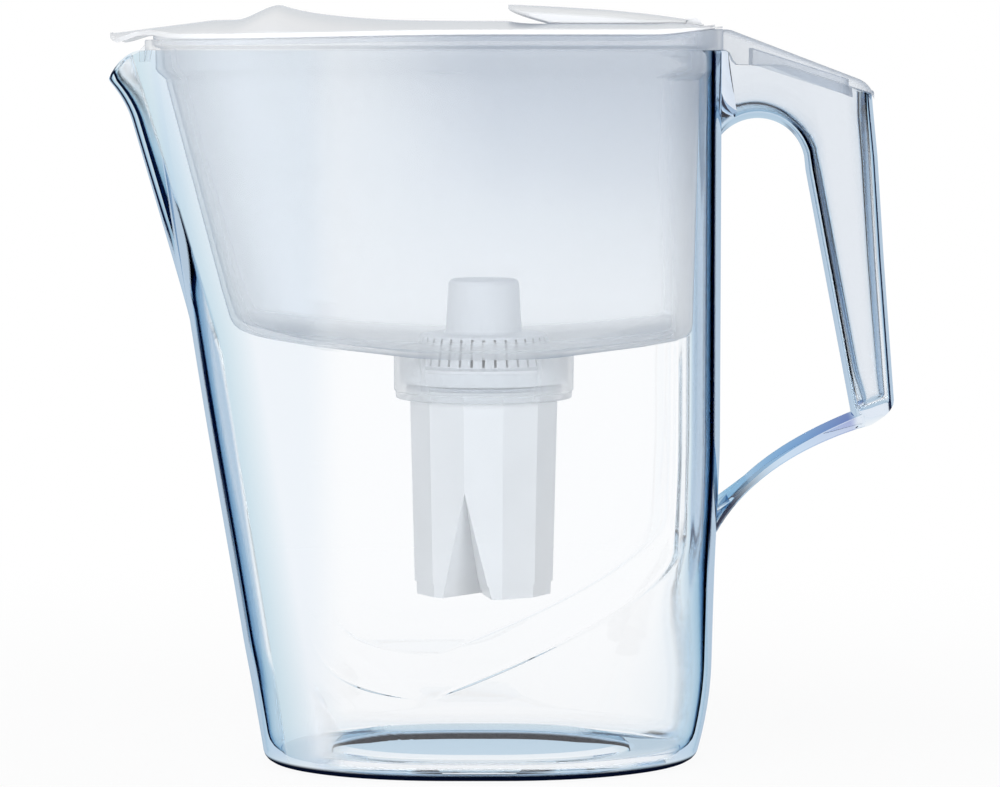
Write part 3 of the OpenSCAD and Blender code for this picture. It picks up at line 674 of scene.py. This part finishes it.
# Height of the nose's lower edge over the band's line
NOSE_EDGE = [(NOSE_X, 0.8), (-130, -0.3), (-128.6, -1.1), (-127.2, -1.3), (-124.8, -0.6), (-120.8, 0.8),
             (-116.8, 1.3), (-113, 1), (-108.5, 0.2), (-104, 0)]
LID_LINE = band_outline(0.2)
LID_STATIONS = [*(NOSE_X + d for d in (0.1, 0.35, 0.9, 2, 3.5, 5.5)), -123, -120.5, -119.1, -118, -116.5,
                -114.4, -111.5, -108, -104, -100, -96, -92, -89, -86.5, *np.linspace(-84.5, -55, 30),
                *np.linspace(-51, 40, 20), 46, 51, 56, 60, 63, 66, 68.5, 70.5, 72, 73, 73.6, 74, 74.25]
# Points across the lid, as shares of its half width
TOP_SHARES = [1, 0.997, 0.985, 0.96, 0.92, 0.86, 0.78, 0.68, 0.56, 0.42, 0.28, 0.14]
UNDER_SHARES = [1, 0.985, 0.96, 0.9, 0.75, 0.5, 0.25]


def lid_half(x):
    """Half width of the lid: the band's line, and ahead of it the nose."""
    if x > 60:
        rear = LID_LINE[LID_LINE[:, 0] > 58]
        return np.interp(x, rear[:, 0], rear[:, 1]) if x < rear[-1][0] else 0
    forward = np.maximum.accumulate(LID_LINE[:, 0])
    band = 0 if x < LID_LINE[0][0] else np.interp(x, forward, LID_LINE[:, 1])
    nose = np.interp(x, *zip(*NOSE)) if x < NOSE[-1][0] else 0
    return max(band, nose)


def crest(x):
    return 1 - ease((CREST_X - x) / 15) if x < CREST_X else math.exp(-(x - CREST_X) / 15)


def lid_mid_z(x):
    """Top of the lid along its middle."""
    front = mix(246.3, 250.9, clamp((x - NOSE_X) / 36)) + (CREST_Z - 251.0) * crest(x)
    return front - 0.4 * ease((x + 60) / 30) - 2.1 * ease((x - 54) / 19)


def lid_low_z(x):
    return edge_z(x) + 0.25 + np.interp(x, *zip(*NOSE_EDGE))


def lid_edge_th(x):
    return mix(1.6, 0.5, ease((x - 54) / 16))


def lid_z(x, y):
    """Top of the lid, which falls from its middle to its edge."""
    e, h = lid_low_z(x) + lid_edge_th(x), max(1, lid_half(x))
    return e + (lid_mid_z(x) - e) * (1 - clamp(abs(y) / h) ** 2.6)


def lid_ring(x):
    """Section across the lid: over the top and back along the underside."""
    h, low, edge = max(1.2, lid_half(x)), lid_low_z(x), lid_edge_th(x)
    top = []
    for k in TOP_SHARES:
        rounding = 0.3 if k == 1 else 0.07 if k > 0.99 else 0
        top.append((k * h, max(lid_z(x, k * h), low + 0.75 * edge) - edge * rounding))
    under = [(k * h, low if k > 0.95 else max(low, lid_z(x, k * h) - LID_TH)) for k in UNDER_SHARES]
    back = over(x, under, max(low, lid_z(x, 0) - LID_TH))
    return over(x, top, lid_z(x, 0)) + back[::-1]


def lid_shell():
    return loft("lid", [lid_ring(x) for x in LID_STATIONS], (NOSE_X, 0, 245.8), (74.35, 0, 248.4))


def flap_half(x, inset):
    a = clamp((FLAP_X + 10 + inset - x) / 10)
    b = clamp((x - 44) / (FLAP_REAR_X - inset - 44))
    return (FLAP_HALF - inset) * (1 - a ** 2.5) ** (1 / 2.5) * (1 - 0.42 * b ** 2)


# Places along the flap, out of FLAP_SPAN
FLAP_STATIONS = [0, 0.25, 0.6, 1.2, 2, 3.2, 5, 7.5, 10, 15, 20, 26, 32, 37, 42, 46, 50, 54, 57, 60, 62, 64]


def flap_plan(inset):
    xs = [FLAP_X + inset + s * (FLAP_SPAN - 2 * inset) / FLAP_SPAN for s in FLAP_STATIONS]
    side = [(x, max(3, flap_half(x, inset))) for x in xs]
    return side + [(x, -y) for x, y in reversed(side)]


def cross_rod(name, r, length, segments=48):
    """A round rod along the hinge with slightly rounded ends."""
    turns = [2 * math.pi * i / segments for i in range(segments)]
    half = length / 2
    rings = [[(HINGE_X + k * r * math.cos(t), y, HINGE_Z + k * r * math.sin(t)) for t in turns]
             for y, k in ((-half, 0.9), (-half + 0.15, 1), (half - 0.15, 1), (half, 0.9))]
    return loft(name, rings, (HINGE_X, -half, HINGE_Z), (HINGE_X, half, HINGE_Z))


def build_lid():
    rim_rows = ((4.4, -1.8), (2.9, -1.8), (2.8, 1.4), (4.4, 1.4))
    rim = loft("rim", [at_edge(band_outline(inset), lift) for inset, lift in rim_rows], closed=True)
    collar = extrude("collar", flap_plan(2), 245.6, 249.2)
    ledge = extrude("ledge", flap_plan(-0.9), 248, LEDGE_Z)
    fill_opening = extrude("fill_opening", flap_plan(4), 236, 266)
    flap_seat = extrude("flap_seat", flap_plan(-0.4), LEDGE_Z, 280)
    lid = combine(lid_shell(), joins=[rim, collar, ledge], cuts=[fill_opening, flap_seat])
    lugs = [moved(cross_rod("lug", PIN_R + 1.3, 4.6), y=side * (LUG_Y + 1.7)) for side in (-1, 1)]
    front, rear = HINGE_X - 3, HINGE_X + 3
    slot = extrude("slot", [(front, -LUG_Y), (rear, -LUG_Y), (rear, LUG_Y), (front, LUG_Y)], 240, 260)
    return smooth(combine(lid, joins=lugs, cuts=[slot, cross_rod("bore", BORE_R, 43.2)]), 28)


# ---------------------------------------------------------------- flip flap
FLAP_SHARES = [1, 0.985, 0.96, 0.92, 0.86, 0.78, 0.66, 0.5, 0.3]


def flap_top(x):
    return np.interp(x, [2, 8, 20, 36, 50, 60, 68], [256, 255.8, 255.2, 254.2, 252.8, 251.4, 250.2])


def flap_low(x):
    return max(249.55, 254.6 - 5.2 * clamp((x - FLAP_X) / 15) ** 0.75)


def flap_ring(x):
    """Section across the flap: over the top and back along the underside."""
    h, top, low = max(3, flap_half(x, 0)), flap_top(x), flap_low(x)
    side = max(low + 0.9, top - 2.6)
    up = [(q * h, mix(top, side, q ** 5) - (0.35 if q == 1 else 0)) for q in FLAP_SHARES]
    under = [(x, q * h, low + (0.3 if abs(q) == 1 else 0)) for q in (1, 0.985, 0.6, 0, -0.6, -0.985, -1)]
    return over(x, up, top) + under


def build_flap():
    rear_x = FLAP_X + FLAP_LENGTH
    neck_x = rear_x - 1.4
    rings = [flap_ring(FLAP_X + s * FLAP_LENGTH / FLAP_SPAN) for s in FLAP_STATIONS]
    plate = loft("flip_flap", rings, (FLAP_X, 0, 255.2), (rear_x, 0, 250.3))
    neck_outline = [(neck_x, 249.8), (neck_x, 251), (HINGE_X, HINGE_Z + 2.1), (HINGE_X, HINGE_Z + 0.3)]
    joins = [side_prism("neck", neck_outline, 16.9), cross_rod("barrel", 2.3, 34.4)]
    return smooth(combine(plate, joins=joins, cuts=[cross_rod("bore", BORE_R, 60)]), 28)


# ---------------------------------------------------------------- materials
def srgb(text):
    """sRGB hex colour as linear RGBA."""
    parts = [int(text[i:i + 2], 16) / 255 for i in (1, 3, 5)]
    return tuple(c / 12.92 if c <= 0.04045 else ((c + 0.055) / 1.055) ** 2.4 for c in parts) + (1.0,)


SMOOTH_STEP = {"interpolation_type": "SMOOTHSTEP"}


def add(material, kind, links=(), values=(), stops=(), **settings):
    """
    Adds a node with its settings and its links (from node, from socket, to socket).
    Values are (socket number, value), and stops are the (place, colour) pairs of a colour ramp.
    """
    node = material.node_tree.nodes.new("ShaderNode" + kind)
    for key, value in settings.items():
        if hasattr(node, key):
            setattr(node, key, value)
        else:
            node.inputs[key.replace("_", " ")].default_value = value
    for source, output, socket in links:
        material.node_tree.links.new(source.outputs[output], node.inputs[socket])
    for socket, value in values:
        node.inputs[socket].default_value = value
    for _ in stops[2:]:
        node.color_ramp.elements.new(0.5)
    for i, (place, colour) in enumerate(stops):
        node.color_ramp.elements[i].position = place
        node.color_ramp.elements[i].color = srgb(colour)
    return node


def new_material(name):
    material = bpy.data.materials.new(name)
    material.use_nodes = True
    material.node_tree.nodes.clear()
    return material


def texture_scale(size):
    """Scale of a texture whose cells are this size, in millimetres."""
    return 1 / (size * MM)


# The spout's and the wall's front in the side view: (lean, metres ahead of the origin at the base)
FRONT_LINES = ((0.3, 0.0565), (0.157, 0.0768))


def behind_front(m, axes):
    """Distance behind the foremost of the front lines, a little less towards -Y and more towards +Y."""
    lines = []
    for lean, start in FRONT_LINES:
        leaned = add(m, "Math", [(axes, "Z", 0), (axes, "X", 2)], [(1, lean)], operation="MULTIPLY_ADD")
        lines.append(add(m, "Math", [(leaned, "Value", 0)], [(1, start)], operation="ADD"))
    inward = add(m, "Math", [(lines[0], "Value", 0), (lines[1], "Value", 1)], operation="MAXIMUM")
    return add(m, "Math", [(axes, "Y", 0), (inward, "Value", 2)], [(1, 0.08)], operation="MULTIPLY_ADD")


def jug_tones(m, axes, side, turn, upright, handle_side):
    """Tones of the clear plastic: of its body, and of its edges as seen from either side of the wall; seen
    from inside, the edge tone ends in a painted dark line of shade.
    """
    outer = add(m, "ValToRGB", [(turn, "Value", 0)],
                stops=[(0.1, "#ffffff"), (0.45, "#eff5f9"), (0.65, "#e2edf3"), (0.78, "#d3e3ec")])
    # painted shade: seen from inside the wall at grazing angles, the tone turns pale blue and then a dark
    # navy line
    inner = add(m, "ValToRGB", [(turn, "Value", 0)],
                stops=[(0.5, "#ffffff"), (0.74, "#eef5f9"), (0.84, "#b9d2e2"), (0.88, "#0a1a3c")])
    edge_tone_with_painted_dark_line = add(m, "MixRGB", [(upright, "Result", 0), (inner, "Color", 2)], Color1=srgb("#f4f8fb"))
    far_out = add(m, "MapRange", [(axes, "X", "Value")], From_Min=0.078, From_Max=0.118)
    strap_blue = add(m, "ValToRGB", [(far_out, "Result", 0)],
                     stops=[(0.0, "#8fcdec"), (0.6, "#6fa9dc"), (1.0, "#4f6cc0")])
    below_grip = add(m, "MapRange", [(axes, "Z", "Value")], **SMOOTH_STEP, From_Min=0.1185, From_Max=0.1165)
    within_grip = add(m, "MapRange", [(axes, "X", "Value")], **SMOOTH_STEP, From_Min=0.121, From_Max=0.119)
    on_strap = add(m, "Math", [(below_grip, "Result", 0), (within_grip, "Result", 1)], operation="MULTIPLY")
    grip_tone = add(m, "MixRGB", [(on_strap, "Value", 0), (strap_blue, "Color", 2)], Color1=srgb("#e9edf2"))
    body_tone = add(m, "MixRGB", [(handle_side, "Result", 0), (outer, "Color", 1), (grip_tone, "Color", 2)],
                    blend_type="MULTIPLY")
    edge_tone = add(m, "MixRGB", [(side, "Backfacing", 0), (body_tone, "Color", 1), (edge_tone_with_painted_dark_line, "Color", 2)])
    return body_tone, edge_tone


def jug_edges(m, axes, side, rim_turn, upright, zone, wall):
    """The wall with the pale line along its outer edges and a painted shadow line round its foot."""
    mirror = add(m, "BsdfGlossy", Color=srgb("#b9cde0"), Roughness=0.05)
    edge_on = add(m, "MapRange", [(rim_turn, "Value", "Value")], **SMOOTH_STEP,
                  From_Min=0.76, From_Max=0.83, To_Max=0.95)
    grazing = add(m, "Math", [(edge_on, "Result", 0), (upright, "Result", 1)], operation="MULTIPLY")
    hidden = add(m, "Math", [(side, "Backfacing", 0), (zone, "Value", 1)], operation="MAXIMUM")
    front = add(m, "Math", [(grazing, "Value", 0), (hidden, "Value", 1)],
                operation="SUBTRACT", use_clamp=True)
    rim = add(m, "MixShader", [(front, "Value", 0), (wall, "Shader", 1), (mirror, "BSDF", 2)])
    # painted shadow: a dark see-through sheet on the outer face of the lowest 3 mm of the wall
    dark = add(m, "BsdfTransparent", Color=srgb("#060d22"))
    foot = add(m, "MapRange", [(axes, "Z", "Value")], **SMOOTH_STEP, From_Min=0.003, From_Max=0.0018)
    foot_shadow_share = add(m, "Math", [(foot, "Result", 0), (side, "Backfacing", 1)],
                    operation="SUBTRACT", use_clamp=True)
    return add(m, "MixShader", [(foot_shadow_share, "Value", 0), (rim, "Shader", 1), (dark, "BSDF", 2)])


def clear_jug_plastic():
    """
    Injection moulded clear SAN: colourless face on; towards its edges it turns blue, then painted shade
    turns it dark, with a pale rim.
    """
    m = new_material("moulded_clear_san")
    view = add(m, "LayerWeight", Blend=0.5)
    side = add(m, "NewGeometry")
    place = add(m, "TexCoord")
    axes = add(m, "SeparateXYZ", [(place, "Object", 0)])
    from_front = behind_front(m, axes)
    high = add(m, "MapRange", [(axes, "Z", "Value")], **SMOOTH_STEP, From_Min=0.158, From_Max=0.182)
    past_front = add(m, "MapRange", [(from_front, "Value", "Value")], **SMOOTH_STEP,
                     From_Min=0.0034, From_Max=0.0045)
    forward = add(m, "MapRange", [(axes, "X", "Value")], **SMOOTH_STEP, From_Min=-0.05, From_Max=-0.065)
    zone = add(m, "Math", [(past_front, "Result", 0), (forward, "Result", 1)], operation="MULTIPLY")
    depth = add(m, "MapRange", [(from_front, "Value", "Value")], From_Min=0.004, From_Max=0.016)
    shade = add(m, "ValToRGB", [(depth, "Result", 0)], stops=[(0.0, "#f3f8fa"), (1.0, "#fcfdfe")])
    turned = add(m, "SeparateXYZ", [(side, "Normal", 0)])
    level = add(m, "Math", [(turned, "Z", 0)], operation="ABSOLUTE")
    upright = add(m, "MapRange", [(level, "Value", "Value")], **SMOOTH_STEP, From_Min=0.85, From_Max=0.6)
    at_front = add(m, "MapRange", [(from_front, "Value", "Value")], **SMOOTH_STEP,
                   From_Min=0.0045, From_Max=0.003)
    spout = add(m, "Math", [(at_front, "Result", 0), (high, "Result", 1)], operation="MULTIPLY")
    handle_side = add(m, "MapRange", [(axes, "X", "Value")], **SMOOTH_STEP,
                      From_Min=0.072, From_Max=0.078, To_Max=0.6)
    # the edge tones, painted dark line included, reach further in on the narrow spout and handle, but the
    # spout's pale rim doesn't
    narrow = add(m, "Math", [(spout, "Value", 0), (handle_side, "Result", 1)], operation="MAXIMUM")
    bent = add(m, "MapRange", [(narrow, "Value", "Value")], To_Min=1.0, To_Max=1.6)
    turn = add(m, "Math", [(view, "Facing", 0), (bent, "Result", 1)], operation="MULTIPLY")
    less = add(m, "MapRange", [(spout, "Value", "Value")], To_Min=1.0, To_Max=0.71)
    rim_turn = add(m, "Math", [(turn, "Value", 0), (less, "Result", 1)], operation="MULTIPLY")
    body_tone, edge_tone = jug_tones(m, axes, side, turn, upright, handle_side)
    tint = add(m, "MixRGB", [(zone, "Value", 0), (edge_tone, "Color", 1), (shade, "Color", 2)])
    glass = add(m, "BsdfPrincipled", [(body_tone, "Color", "Base Color")],
                Roughness=0.01, IOR=1.57, Transmission_Weight=1.0)
    edge = add(m, "BsdfTransparent", [(tint, "Color", "Color")])
    turning = add(m, "MapRange", [(turn, "Value", "Value")], **SMOOTH_STEP, From_Min=0.38, From_Max=0.55)
    steep = add(m, "Math", [(turning, "Result", 0), (zone, "Value", 1)], operation="MAXIMUM")
    wall = add(m, "MixShader", [(steep, "Value", 0), (glass, "BSDF", 1), (edge, "BSDF", 2)])
    footed = jug_edges(m, axes, side, rim_turn, upright, zone, wall)
    clear = add(m, "BsdfTransparent", Color=srgb("#fdfeff"))
    path = add(m, "LightPath")
    shown = add(m, "MixShader", [(path, "Is Shadow Ray", 0), (footed, "Shader", 1), (clear, "BSDF", 2)])
    inside = add(m, "VolumeAbsorption", Color=srgb("#8cc0ee"), Density=10.0)
    add(m, "OutputMaterial", [(shown, "Shader", "Surface"), (inside, "Volume", "Volume")])
    return m


def milky_funnel_plastic():
    """
    Injection moulded polypropylene without pigment: a haze, thinner low in front and denser above and
    towards the rear, whose colour painted shade greys above, towards the rear and where the wall is seen
    edge on.
    """
    m = new_material("moulded_natural_polypropylene")
    place = add(m, "TexCoord")
    axes = add(m, "SeparateXYZ", [(place, "Object", 0)])
    # painted shade: the colour greys towards the rear and upwards, under the lid; a random flow tone is
    # mixed in
    along = add(m, "MapRange", [(axes, "X", "Value")], From_Min=-0.075, From_Max=0.0)
    up = add(m, "MapRange", [(axes, "Z", "Value")], From_Min=0.15, From_Max=0.235)
    painted_shade_mask = add(m, "Math", [(along, "Result", 0), (up, "Result", 1)], operation="MULTIPLY")
    flow = add(m, "TexNoise", [(place, "Object", "Vector")], Scale=texture_scale(71.4), Detail=2.0)
    mixed = add(m, "Math", [(flow, "Fac", 0), (painted_shade_mask, "Value", 2)], [(1, 0.2)], operation="MULTIPLY_ADD")
    flow_tone_and_painted_shade = add(m, "ValToRGB", [(mixed, "Value", 0)],
                    stops=[(0.1, "#ffffff"), (0.5, "#f4f6f9"), (1.1, "#d3dae4")])
    view = add(m, "LayerWeight", Blend=0.35)
    # grey-blue where the wall is seen edge on: partly the denser look of the haze, partly painted shade
    # along its silhouettes
    edge_on = add(m, "MapRange", [(view, "Facing", "Value")], **SMOOTH_STEP, From_Min=0.7, From_Max=0.92)
    haze = add(m, "MixRGB", [(edge_on, "Result", 0), (flow_tone_and_painted_shade, "Color", 1)], Color2=srgb("#a3b0c2"))
    # a mould leaves a grain of about 0.1 mm, too fine to show, so it is drawn 3.85 mm across
    fine = add(m, "TexNoise", [(place, "Object", "Vector")], Scale=texture_scale(3.85), Detail=1.0)
    bump = add(m, "Bump", [(fine, "Fac", "Height")], Strength=0.02, Distance=0.0003)
    skin = add(m, "BsdfPrincipled", [(haze, "Color", "Base Color"), (bump, "Normal", "Normal")],
               Roughness=0.32, IOR=1.49)
    glow = add(m, "BsdfTranslucent", [(haze, "Color", "Color"), (bump, "Normal", "Normal")])
    body = add(m, "MixShader", [(skin, "BSDF", 1), (glow, "BSDF", 2)], Fac=0.3)
    clear = add(m, "BsdfTransparent", Color=srgb("#fcfdfe"))
    upper = add(m, "MapRange", [(axes, "Z", "Value")],
                From_Min=0.155, From_Max=0.2, To_Min=0.1, To_Max=0.26)
    rearward = add(m, "MapRange", [(axes, "X", "Value")], From_Min=-0.09, From_Max=-0.02, To_Min=0.25)
    least = add(m, "Math", [(upper, "Result", 0), (rearward, "Result", 1)], operation="MULTIPLY")
    most = add(m, "MapRange", [(axes, "X", "Value")],
               From_Min=-0.1, From_Max=0.0, To_Min=0.4, To_Max=0.95)
    density = add(m, "MapRange", [(view, "Facing", "Value"), (least, "Value", "To Min"),
                                  (most, "Result", "To Max")])
    shown = add(m, "MixShader", [(density, "Result", 0), (clear, "BSDF", 1), (body, "Shader", 2)])
    add(m, "OutputMaterial", [(shown, "Shader", "Surface")])
    return m


def white_lid_plastic():
    """Injection moulded glossy ABS, white: clean highlights with the faint waviness of a mould's polish, and
    painted shade where the surface turns edge on.
    """
    m = new_material("moulded_white_abs")
    place = add(m, "TexCoord")
    wave = add(m, "TexNoise", [(place, "Object", "Vector")], Scale=texture_scale(45.5), Detail=2.0)
    face = add(m, "ValToRGB", [(wave, "Fac", 0)], stops=[(0.3, "#e8eaee"), (0.7, "#eff1f4")])
    view = add(m, "LayerWeight", Blend=0.35)
    # painted shade: grey-blue where the surface is seen edge on, outlining it against the white
    edge_on = add(m, "MapRange", [(view, "Facing", "Value")], **SMOOTH_STEP, From_Min=0.6, From_Max=0.92)
    tone = add(m, "MixRGB", [(edge_on, "Result", 0), (face, "Color", 1)], Color2=srgb("#aab6c4"))
    rough = add(m, "MapRange", [(wave, "Fac", "Value")], To_Min=0.16, To_Max=0.24)
    bump = add(m, "Bump", [(wave, "Fac", "Height")], Strength=0.04, Distance=0.001)
    body = add(m, "BsdfPrincipled", [(tone, "Color", "Base Color"), (rough, "Result", "Roughness"),
                                     (bump, "Normal", "Normal")], IOR=1.53)
    add(m, "OutputMaterial", [(body, "BSDF", "Surface")])
    return m


def white_cartridge_plastic(name, low, high):
    """Moulded polypropylene, white with a satin skin: soft broad highlights."""
    m = new_material(name)
    place = add(m, "TexCoord")
    # the grain of a satin skin, about 0.1 mm in truth, is drawn 1.43 mm across to show
    fine = add(m, "TexNoise", [(place, "Object", "Vector")], Scale=texture_scale(1.43), Detail=3.0)
    cloud = add(m, "TexNoise", [(place, "Object", "Vector")], Scale=texture_scale(33.3))
    tone = add(m, "ValToRGB", [(cloud, "Fac", 0)], stops=[(0.3, low), (0.7, high)])
    bump = add(m, "Bump", [(fine, "Fac", "Height")], Strength=0.08, Distance=0.0002)
    body = add(m, "BsdfPrincipled", [(tone, "Color", "Base Color"), (bump, "Normal", "Normal")],
               Roughness=0.38, IOR=1.49)
    add(m, "OutputMaterial", [(body, "BSDF", "Surface")])
    return m


def sealing_rubber():
    """Moulded silicone rubber: dull, with a slight bloom."""
    m = new_material("moulded_silicone_rubber")
    place = add(m, "TexCoord")
    # specks of bloom are finer than this in truth and are drawn 2 mm across to show
    fine = add(m, "TexNoise", [(place, "Object", "Vector")], Scale=texture_scale(2))
    tone = add(m, "ValToRGB", [(fine, "Fac", 0)], stops=[(0.3, "#cfd4da"), (0.7, "#dde1e6")])
    body = add(m, "BsdfPrincipled", [(tone, "Color", "Base Color")], Roughness=0.6, IOR=1.41)
    add(m, "OutputMaterial", [(body, "BSDF", "Surface")])
    return m


def filter_grains():
    """Loose beads of resin and activated carbon, about 0.8 mm across: speckled amber and black."""
    m = new_material("loose_carbon_and_resin_beads")
    place = add(m, "TexCoord")
    # inside the closed cartridge, so the beads keep their real size
    beads = add(m, "TexVoronoi", [(place, "Object", "Vector")], Scale=texture_scale(0.8))
    tone = add(m, "ValToRGB", [(beads, "Color", 0)], stops=[(0.4, "#26262a"), (0.6, "#b98f52")])
    bump = add(m, "Bump", [(beads, "Distance", "Height")], Strength=0.6, Distance=0.0004)
    body = add(m, "BsdfPrincipled", [(tone, "Color", "Base Color"), (bump, "Normal", "Normal")],
               Roughness=0.7, IOR=1.5)
    add(m, "OutputMaterial", [(body, "BSDF", "Surface")])
    return m


def fleece():
    """Needled polypropylene felt: matt white with a tangle of fibres a third of a millimetre apart."""
    m = new_material("needled_felt")
    place = add(m, "TexCoord")
    # inside the closed cartridge, so the fibres keep their real size
    fibres = add(m, "TexNoise", [(place, "Object", "Vector")],
                 Scale=texture_scale(1 / 3), Detail=6.0, Distortion=1.5)
    tone = add(m, "ValToRGB", [(fibres, "Fac", 0)], stops=[(0.3, "#d9dbdd"), (0.7, "#f4f5f6")])
    bump = add(m, "Bump", [(fibres, "Fac", "Height")], Strength=0.5, Distance=0.0004)
    body = add(m, "BsdfPrincipled", [(tone, "Color", "Base Color"), (bump, "Normal", "Normal")],
               Roughness=0.9, IOR=1.49)
    add(m, "OutputMaterial", [(body, "BSDF", "Surface")])
    return m


# ---------------------------------------------------------------- build and place
def place_piece(obj, material, body, slot, *nodes):
    obj.data.materials.clear()
    obj.data.materials.append(material)
    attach(obj, body)
    if nodes:
        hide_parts(*nodes)


jug_plastic = clear_jug_plastic()
funnel_plastic = milky_funnel_plastic()
lid_plastic = white_lid_plastic()
cartridge_plastic = white_cartridge_plastic("moulded_white_polypropylene", "#e9ebed", "#f0f2f4")
# painted light: the head's plastic is the cartridge's, made brighter for the light it lacks inside the
# funnel
head_plastic_painted_brighter = white_cartridge_plastic("polypropylene_painted_brighter", "#f8f9fa", "#fcfcfd")
rubber = sealing_rubber()
grains = filter_grains()
felt = fleece()

place_piece(build_jug(), jug_plastic, "jug", "clear_blue_plastic", "jug")
place_piece(build_funnel(), funnel_plastic, "funnel", "milky_plastic", "funnel")
place_piece(build_lid(), lid_plastic, "lid", "white_gloss_plastic", "lid")
place_piece(build_flap(), lid_plastic, "flap", "white_gloss_plastic", "flip_flap")

# Pieces that keep their CAD shape
KEPT_PIECES = {
    "flap_hinge_pin": cartridge_plastic,
    "cartridge_head": head_plastic_painted_brighter,
    "cartridge_shell": cartridge_plastic,
    "cartridge_base_cap": cartridge_plastic,
    "cartridge_seal": rubber,
    "filter_bed": grains,
    "upper_fleece": felt,
    "lower_fleece": felt,
}
for node, material in KEPT_PIECES.items():
    for piece_slot in frame["nodes"][node].material_slots:
        piece_slot.material = material

# ---------------------------------------------------------------- camera, at the height of the rim
CAMERA = Vector((0, -1.4, 0.243))
AIM = Vector((0, 0, 0.1245))
SENSOR = 36
LENS = 148.9
data = bpy.data.cameras.new("camera")
camera = bpy.data.objects.new("camera", data)
bpy.context.scene.collection.objects.link(camera)
camera.location = CAMERA
camera.rotation_euler = (AIM - CAMERA).to_track_quat("-Z", "Y").to_euler()
data.sensor_width = SENSOR
data.lens = LENS
data.clip_start = 0.05
data.clip_end = 30
bpy.context.scene.camera = camera
bpy.context.scene.view_settings.view_transform = "Standard"


# ---------------------------------------------------------------- floor and light
def floor():
    """A sheet of pale paper that keeps the shadow under the jug and melts into the white wall around it."""
    m = new_material("pale_paper_sheet")
    paper = add(m, "BsdfDiffuse", Color=srgb("#f4f5f6"))
    wall = add(m, "Emission", Color=(1, 1, 1, 1), Strength=1.0)
    path = add(m, "LightPath")
    place = add(m, "TexCoord")
    far = add(m, "VectorMath", [(place, "Object", 0)], operation="LENGTH")
    plain = add(m, "MapRange", [(far, "Value", "Value")], **SMOOTH_STEP,
                From_Min=0.12, From_Max=0.6, To_Min=0.9, To_Max=1.0)
    clear = add(m, "Math", [(path, "Is Camera Ray", 0), (path, "Is Transmission Ray", 1)],
                operation="MAXIMUM")
    bright = add(m, "Math", [(clear, "Value", 0), (path, "Is Glossy Ray", 1)], operation="MAXIMUM")
    share = add(m, "Math", [(bright, "Value", 0), (plain, "Result", 1)], operation="MULTIPLY")
    shown = add(m, "MixShader", [(share, "Value", 0), (paper, "BSDF", 1), (wall, "Emission", 2)])
    add(m, "OutputMaterial", [(shown, "Shader", "Surface")])
    size = 3.0
    corners = [(-size, -size, 0), (size, -size, 0), (size, size, 0), (-size, size, 0)]
    mesh = bpy.data.meshes.new("floor")
    mesh.from_pydata(corners, [], [(0, 1, 2, 3)])
    obj = bpy.data.objects.new("floor", mesh)
    obj.location.z = -0.0005  # just clear of the foot
    mesh.materials.append(m)
    bpy.context.scene.collection.objects.link(obj)


def soft_lamp(name, place, aim, width, power):
    """A soft lamp that lights without being seen itself in or through the plastic."""
    data = bpy.data.lights.new(name, "AREA")
    data.shape = "RECTANGLE"
    data.size = width
    data.size_y = width * 0.8
    data.energy = power
    lamp = bpy.data.objects.new(name, data)
    lamp.location = place
    lamp.rotation_euler = (Vector(aim) - Vector(place)).to_track_quat("-Z", "Y").to_euler()
    lamp.visible_glossy = False
    lamp.visible_transmission = False
    data.cycles.use_multiple_importance_sampling = False
    bpy.context.scene.collection.objects.link(lamp)


def world():
    """A white wall all round for what is seen, and even fill light for what is lit."""
    w = bpy.data.worlds.new("studio")
    bpy.context.scene.world = w
    w.use_nodes = True
    w.node_tree.nodes.clear()
    path = add(w, "LightPath")
    seen = add(w, "Math", [(path, "Is Camera Ray", 0), (path, "Is Transmission Ray", 1)],
               operation="MAXIMUM")
    shiny = add(w, "Math", [(seen, "Value", 0), (path, "Is Glossy Ray", 1)], operation="MAXIMUM")
    direct = add(w, "Math", [(shiny, "Value", 0), (path, "Diffuse Depth", 1)],
                 operation="SUBTRACT", use_clamp=True)
    fill = add(w, "Background", Color=(1, 1, 1, 1), Strength=0.3)
    wall = add(w, "Background", Color=(1, 1, 1, 1), Strength=1.0)
    sky = add(w, "MixShader", [(direct, "Value", 0), (fill, "Background", 1), (wall, "Background", 2)])
    add(w, "OutputWorld", [(sky, "Shader", "Surface")])


floor()
world()
soft_lamp("key", place=(-0.7, -1.1, 0.35), aim=(0, 0, 0.15), width=0.7, power=7)
soft_lamp("side", place=(0.8, -0.9, 0.3), aim=(0, 0, 0.15), width=0.7, power=5.5)
soft_lamp("top", place=(-0.3, -0.5, 1.3), aim=(0, 0, 0.2), width=0.9, power=5.2)
soft_lamp("back", place=(0.3, 1.1, 0.5), aim=(0, 0, 0.15), width=0.9, power=6.9)
